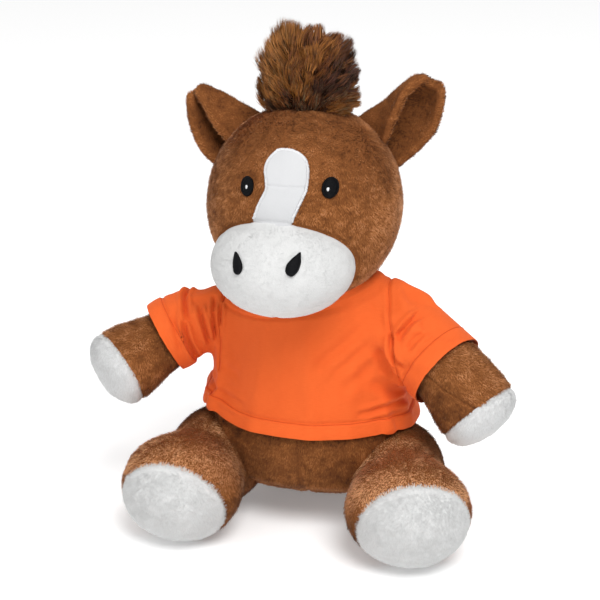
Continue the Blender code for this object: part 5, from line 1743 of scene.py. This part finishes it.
# the neck band lies against the head where it comes near
from_head = co - HEAD
gap = np.linalg.norm(from_head, axis=1) - HEAD_R - 1.5
pull = np.clip(gap, 0, 6) * smoothstep(7.0, 0.5, band_at["collar"]) * (gap < 9) * smoothstep(-25, -5, co[:, 0])
co = co - unit(from_head) * pull[:, None]

# the shirt stays outside what it covers
for _ in range(3):
    f = body_field(co)
    g = gradient(body_field, co)
    short = np.maximum(1.25 - f, 0.0)
    co = co + unit(g) * np.minimum(short, 3.0)[:, None]
normals = quad_normals(co, quads)

THICK = 0.75
SHEET_AREA = {}


def knit(name):
    """Fine jersey: columns of stitches, a faint slub and a soft fuzz; the columns run down the piece's knit map."""
    made = node_material(name, (0.77, 0.122, 0.020), rough=0.82, sheen=0.10, sheen_tint=(1.0, 0.55, 0.32),
                         sheen_rough=0.45, specular=0.25)
    nodes, links = made.node_tree.nodes, made.node_tree.links
    shader = nodes["Principled BSDF"]

    def maths(operation, a, b=None, c=None):
        n = nodes.new("ShaderNodeMath")
        n.operation = operation
        for k, v in enumerate((a, b, c)):
            if v is None:
                continue
            if isinstance(v, (int, float)):
                n.inputs[k].default_value = v
            else:
                links.new(v, n.inputs[k])
        return n.outputs[0]

    def noise_node(vector, scale, detail=2.0):
        n = nodes.new("ShaderNodeTexNoise")
        n.inputs["Scale"].default_value = scale
        n.inputs["Detail"].default_value = detail
        links.new(vector, n.inputs["Vector"])
        return n.outputs["Fac"]

    place = nodes.new("ShaderNodeUVMap")
    place.uv_map = "knit"
    parts = nodes.new("ShaderNodeSeparateXYZ")
    links.new(place.outputs["UV"], parts.inputs[0])
    u, v = parts.outputs[0], parts.outputs[1]           # in units of 100 mm
    wale, course = 0.62, 0.50                            # mm
    columns = maths("SINE", maths("MULTIPLY", u, 2 * math.pi * 100 / wale))
    lean = maths("MULTIPLY", maths("ABSOLUTE", columns), 0.5)
    loops = maths("SINE", maths("ADD", maths("MULTIPLY", v, 2 * math.pi * 100 / course), maths("MULTIPLY", lean, 6.0)))
    wander = nodes.new("ShaderNodeTexCoord").outputs["Object"]
    slub_map = nodes.new("ShaderNodeMapping")
    slub_map.inputs["Scale"].default_value = (3.0, 60.0, 1.0)
    links.new(place.outputs["UV"], slub_map.inputs["Vector"])
    slub = noise_node(slub_map.outputs[0], 9.0, 3.0)
    rib_map = nodes.new("ShaderNodeMapping")
    rib_map.inputs["Scale"].default_value = (70.0, 2.5, 1.0)
    links.new(place.outputs["UV"], rib_map.inputs["Vector"])
    ribs = noise_node(rib_map.outputs[0], 2.0, 2.0)
    cloud = noise_node(wander, 140.0, 3.0)
    fuzz = noise_node(wander, 2600.0, 2.0)
    height = maths("ADD", maths("MULTIPLY", columns, 0.20), maths("MULTIPLY", loops, 0.26))
    height = maths("ADD", height, maths("MULTIPLY", fuzz, 0.9))
    b = nodes.new("ShaderNodeBump")
    b.inputs["Distance"].default_value = 0.07 * MM
    b.inputs["Strength"].default_value = 0.5
    links.new(height, b.inputs["Height"])
    links.new(b.outputs["Normal"], shader.inputs["Normal"])
    mix = maths("ADD", maths("MULTIPLY", slub, 1.15), maths("MULTIPLY", ribs, 0.12))
    mix = maths("ADD", mix, maths("MULTIPLY", cloud, 0.5))
    mix = maths("ADD", mix, maths("MULTIPLY", height, 0.16))
    mix = maths("SUBTRACT", mix, 0.42)
    ramp = nodes.new("ShaderNodeValToRGB")
    ramp.color_ramp.elements[0].color = (0.655, 0.088, 0.011, 1)
    ramp.color_ramp.elements[1].color = (0.755, 0.122, 0.020, 1)
    links.new(mix, ramp.inputs["Fac"])
    links.new(ramp.outputs["Color"], shader.inputs["Base Color"])
    return made


JERSEY = knit("orange_jersey")
# the sewn thread, a darker orange than the jersey: partly the thread's own colour, partly painted shade of the seam's
# groove
ORANGE_THREAD_SEAM_SHADE = mottled("orange_thread_seam_shade", [(0.48, 0.056, 0.006), (0.60, 0.076, 0.011)], sizes=(1.5, 0.3), rough=0.7,
                        specular=0.2, bump_mm=0.05)


def level_lines(values, where):
    """Polylines along values = 0 over the shirt's quads that where keeps, with the surface's normals there."""
    v = values[quads]
    chosen = np.where(where & (v.min(1) < 0) & (v.max(1) >= 0))[0]
    nodes, links = {}, {}

    def crossing(i, j):
        key = (min(i, j), max(i, j))
        if key not in nodes:
            t = values[key[0]] / (values[key[0]] - values[key[1]])
            nodes[key] = (co[key[0]] * (1 - t) + co[key[1]] * t, normals[key[0]] * (1 - t) + normals[key[1]] * t)
        return key

    for q in chosen:
        ids = [int(k) for k in quads[q]]
        cut = [crossing(ids[k], ids[(k + 1) % 4]) for k in range(4) if (values[ids[k]] < 0) != (values[ids[(k + 1) % 4]] < 0)]
        for a, b in zip(cut[::2], cut[1::2]):
            links.setdefault(a, []).append(b)
            links.setdefault(b, []).append(a)
    lines, left = [], set(links)
    while left:
        ends = [k for k in left if len(links[k]) == 1]
        at = min(ends) if ends else min(left)
        path = [at]
        left.discard(at)
        while True:
            ahead = [k for k in links[at] if k in left]
            if not ahead:
                break
            at = ahead[0]
            path.append(at)
            left.discard(at)
        if not ends and len(path) > 2 and path[0] in links[path[-1]]:
            path.append(path[0])
        lines.append((np.array([nodes[k][0] for k in path]), np.array([nodes[k][1] for k in path])))
    return [x for x in lines if len(x[0]) > 12]


def seam_piece(name, values, where, body, radius=0.17, lift=0.02):
    """A sewn line: one thread half sunk in the cloth, darker than the jersey as painted seam shade."""
    made = None
    for line, up in level_lines(values, where):
        for _ in range(3):
            line[1:-1] = (line[:-2] + 2 * line[1:-1] + line[2:]) / 4
        far = np.concatenate([[0], np.cumsum(np.linalg.norm(np.diff(line, axis=0), axis=1))])
        if far[-1] < 12.0:
            continue
        at = np.linspace(0, far[-1], max(int(far[-1] / 0.5), 8))
        row = np.stack([np.interp(at, far, line[:, k]) for k in range(3)], -1)
        up = unit(np.stack([np.interp(at, far, up[:, k]) for k in range(3)], -1))
        piece = tubes(name if made is None else f"{name}_{len(made)}", (row + up * lift)[None],
                      np.full((1, len(at)), radius), ORANGE_THREAD_SEAM_SHADE, flatten=up[None])
        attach(piece, body)
        made = (made or []) + [piece]
    return made or []


def cloth_piece(name, keep, knit_uv):
    """One panel of the shirt as a closed thin sheet; its normals come from the whole shirt."""
    chosen = quads[keep]
    used = np.unique(chosen)
    index = np.full(len(co), -1)
    index[used] = np.arange(len(used))
    f = index[chosen]
    outer, n = co[used], normals[used]
    inner = outer - n * THICK
    count = len(used)
    walls = []
    for ring in boundary_loops([list(q) for q in f]):
        following = np.roll(ring, -1)
        walls.append(np.stack([following, ring, ring + count, following + count], -1))
    all_faces = np.concatenate([f, f[:, ::-1] + count, *walls])
    mesh = mesh_from(name, np.concatenate([outer, inner]), all_faces)
    shade = np.concatenate([n, -n])
    mesh.normals_split_custom_set_from_vertices(shade.astype(np.float32))
    layer = mesh.uv_layers.new(name="knit")
    loops = np.empty(len(mesh.loops), np.int32)
    mesh.loops.foreach_get("vertex_index", loops)
    uv = knit_uv(np.concatenate([outer, outer]))
    sides = np.empty(len(mesh.polygons), np.int32)
    mesh.polygons.foreach_get("loop_total", sides)
    first = np.repeat(np.cumsum(sides) - sides, sides)
    each = uv[loops]
    # keep each face on one side of the seam of the angle
    anchor = each[first, 0]
    turn = knit_uv.turn if hasattr(knit_uv, "turn") else None
    if turn:
        each[:, 0] -= np.round((each[:, 0] - anchor) / turn) * turn
    layer.data.foreach_set("uv", (each / 100.0).astype(np.float32).ravel())
    made = add_object(name, mesh, [JERSEY])
    area = np.linalg.norm(np.cross(outer[f[:, 2]] - outer[f[:, 0]], outer[f[:, 3]] - outer[f[:, 1]]), axis=1).sum() / 2
    SHEET_AREA[name] = area
    return made


def around_body(p):
    angle = np.arctan2(p[:, 0], -(p[:, 1] + 22.0))
    return np.stack([angle * 40.0, p[:, 2]], -1)


around_body.turn = 2 * math.pi * 40.0


def around_sleeve(side):
    at, no = CUFF[side]
    a = unit(np.cross(no, vec(0, 0, 1)))
    b = np.cross(no, a)
    radius = SLEEVE[side][2][1]

    def place(p):
        q = p - at
        return np.stack([np.arctan2(q @ a, q @ b) * radius, q @ no], -1)
    place.turn = 2 * math.pi * radius
    return place


centre = co[quads].mean(1)
# the armpit's distance from the middle and height, and how steeply the sleeve parts from the shirt's side below it
PIT = {"left": (43.6, 75.0, 1.69), "right": (37.5, 79.0, 1.04)}
region = {}
for side, s in (("left", 1), ("right", -1)):
    at, no = ARMHOLE[side]
    pit_x, pit_z, slope = PIT[side]
    on_sleeve = ((centre - at) @ no > 0) & (s * centre[:, 0] > 30)
    on_sleeve &= centre[:, 2] > pit_z - slope * (s * centre[:, 0] - pit_x)
    region[side] = on_sleeve, (centre - at) @ no              # how far beyond the armhole, in mm


body_keep = ~(region["left"][0] | region["right"][0])
front = centre[:, 1] < -22.0
shirt_front = cloth_piece("shirt_front_cloth", body_keep & front, around_body)
shirt_back = cloth_piece("shirt_back_cloth", body_keep & ~front, around_body)
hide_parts("shirt_front", "shirt_neck_band")
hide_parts("shirt_back")
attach(shirt_front, "trunk")
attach(shirt_back, "trunk")
everywhere = np.ones(len(quads), bool)
sewn = seam_piece("shirt_hem_seam", band_at["hem"] - BAND["hem"][0] - 0.15, everywhere, "trunk")
for side, s in (("left", 1), ("right", -1)):
    at, no = ARMHOLE[side]
    beside = (s * centre[:, 0] > 30) & (centre[:, 2] > 70)
    sewn += seam_piece(f"armhole_{side}_seam", (co - at) @ no, beside, "trunk", lift=-0.05)
for side, s in (("left", 1), ("right", -1)):
    on_sleeve, depth = region[side]
    at, no = ARMHOLE[side]
    upper = cloth_piece(f"sleeve_{side}_top_cloth", on_sleeve & (depth < MIDWAY[side]), around_sleeve(side))
    lower = cloth_piece(f"sleeve_{side}_cloth", on_sleeve & (depth >= MIDWAY[side]), around_sleeve(side))
    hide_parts(f"sleeve_{side}")
    a, b = at, at + no * (MIDWAY[side] - 0.3)
    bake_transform(upper)
    bend_with_arm(lower, side)
    cuff = f"cuff_{side}"
    sewn = seam_piece(f"sleeve_{side}_cuff_seam", band_at[cuff] - BAND[cuff][0] - 0.15, everywhere, f"arm_{side}")


# ------------------------------------------------------------------ stage, light and camera
WHITE_FLOOR = node_material("studio_floor", (0.97, 0.97, 0.97), rough=0.9, specular=0.1)
WHITE_FLOOR.node_tree.nodes["Principled BSDF"].inputs["Emission Color"].default_value = (1.0, 1.0, 1.0, 1.0)
WHITE_FLOOR.node_tree.nodes["Principled BSDF"].inputs["Emission Strength"].default_value = 0.21
floor = bpy.data.objects.new("floor", bpy.data.meshes.new("floor"))
work = bmesh.new()
bmesh.ops.create_grid(work, x_segments=1, y_segments=1, size=6.0)
work.to_mesh(floor.data)
work.free()
COLLECTION.objects.link(floor)
floor.data.materials.append(WHITE_FLOOR)
floor.location = (0, 0, -0.0002)

world = bpy.data.worlds.new("studio") if not bpy.context.scene.world else bpy.context.scene.world
bpy.context.scene.world = world
world.use_nodes = True
world.node_tree.nodes["Background"].inputs[0].default_value = (1.0, 1.0, 1.0, 1.0)
# brighter overhead than at the sides, as under a broad studio ceiling light
sky = world.node_tree.nodes
above = sky.new("ShaderNodeTexCoord")
parts = sky.new("ShaderNodeSeparateXYZ")
rise = sky.new("ShaderNodeMapRange")
for k, value in ((1, -0.05), (2, 0.95), (3, 0.28), (4, 0.86)):
    rise.inputs[k].default_value = value
world.node_tree.links.new(above.outputs["Generated"], parts.inputs[0])
world.node_tree.links.new(parts.outputs[2], rise.inputs[0])
world.node_tree.links.new(rise.outputs[0], sky["Background"].inputs[1])


def area_light(name, where, target, size, power):
    made = bpy.data.objects.new(name, bpy.data.lights.new(name, "AREA"))
    bpy.context.scene.collection.objects.link(made)
    made.data.shape = "DISK"
    made.data.size = size
    made.data.energy = power
    made.location = Vector(where)
    made.rotation_euler = (Vector(target) - Vector(where)).to_track_quat("-Z", "Y").to_euler()
    return made


area_light("key", (0.42, -0.72, 1.15), (0, -0.03, 0.09), 0.75, 13.5)
area_light("fill", (-0.75, -1.0, 0.6), (0, -0.03, 0.09), 0.9, 2.2)

camera = bpy.data.objects.new("camera", bpy.data.cameras.new("camera"))
bpy.context.scene.collection.objects.link(camera)
AZ, EL, DIST = math.radians(14.0), math.radians(20.0), 0.650
target = Vector((-0.002, -0.035, 0.104))
back = Vector((math.sin(AZ) * math.cos(EL), -math.cos(AZ) * math.cos(EL), math.sin(EL)))
camera.location = target + back * DIST
camera.rotation_euler = (-back).to_track_quat("-Z", "Y").to_euler()
camera.data.sensor_width = 36.0
camera.data.lens = 36.0 * 2.33 * 650.0 / 600.0
camera.data.clip_start, camera.data.clip_end = 0.01, 20.0
bpy.context.scene.camera = camera
bpy.context.scene.view_settings.view_transform = "Standard"
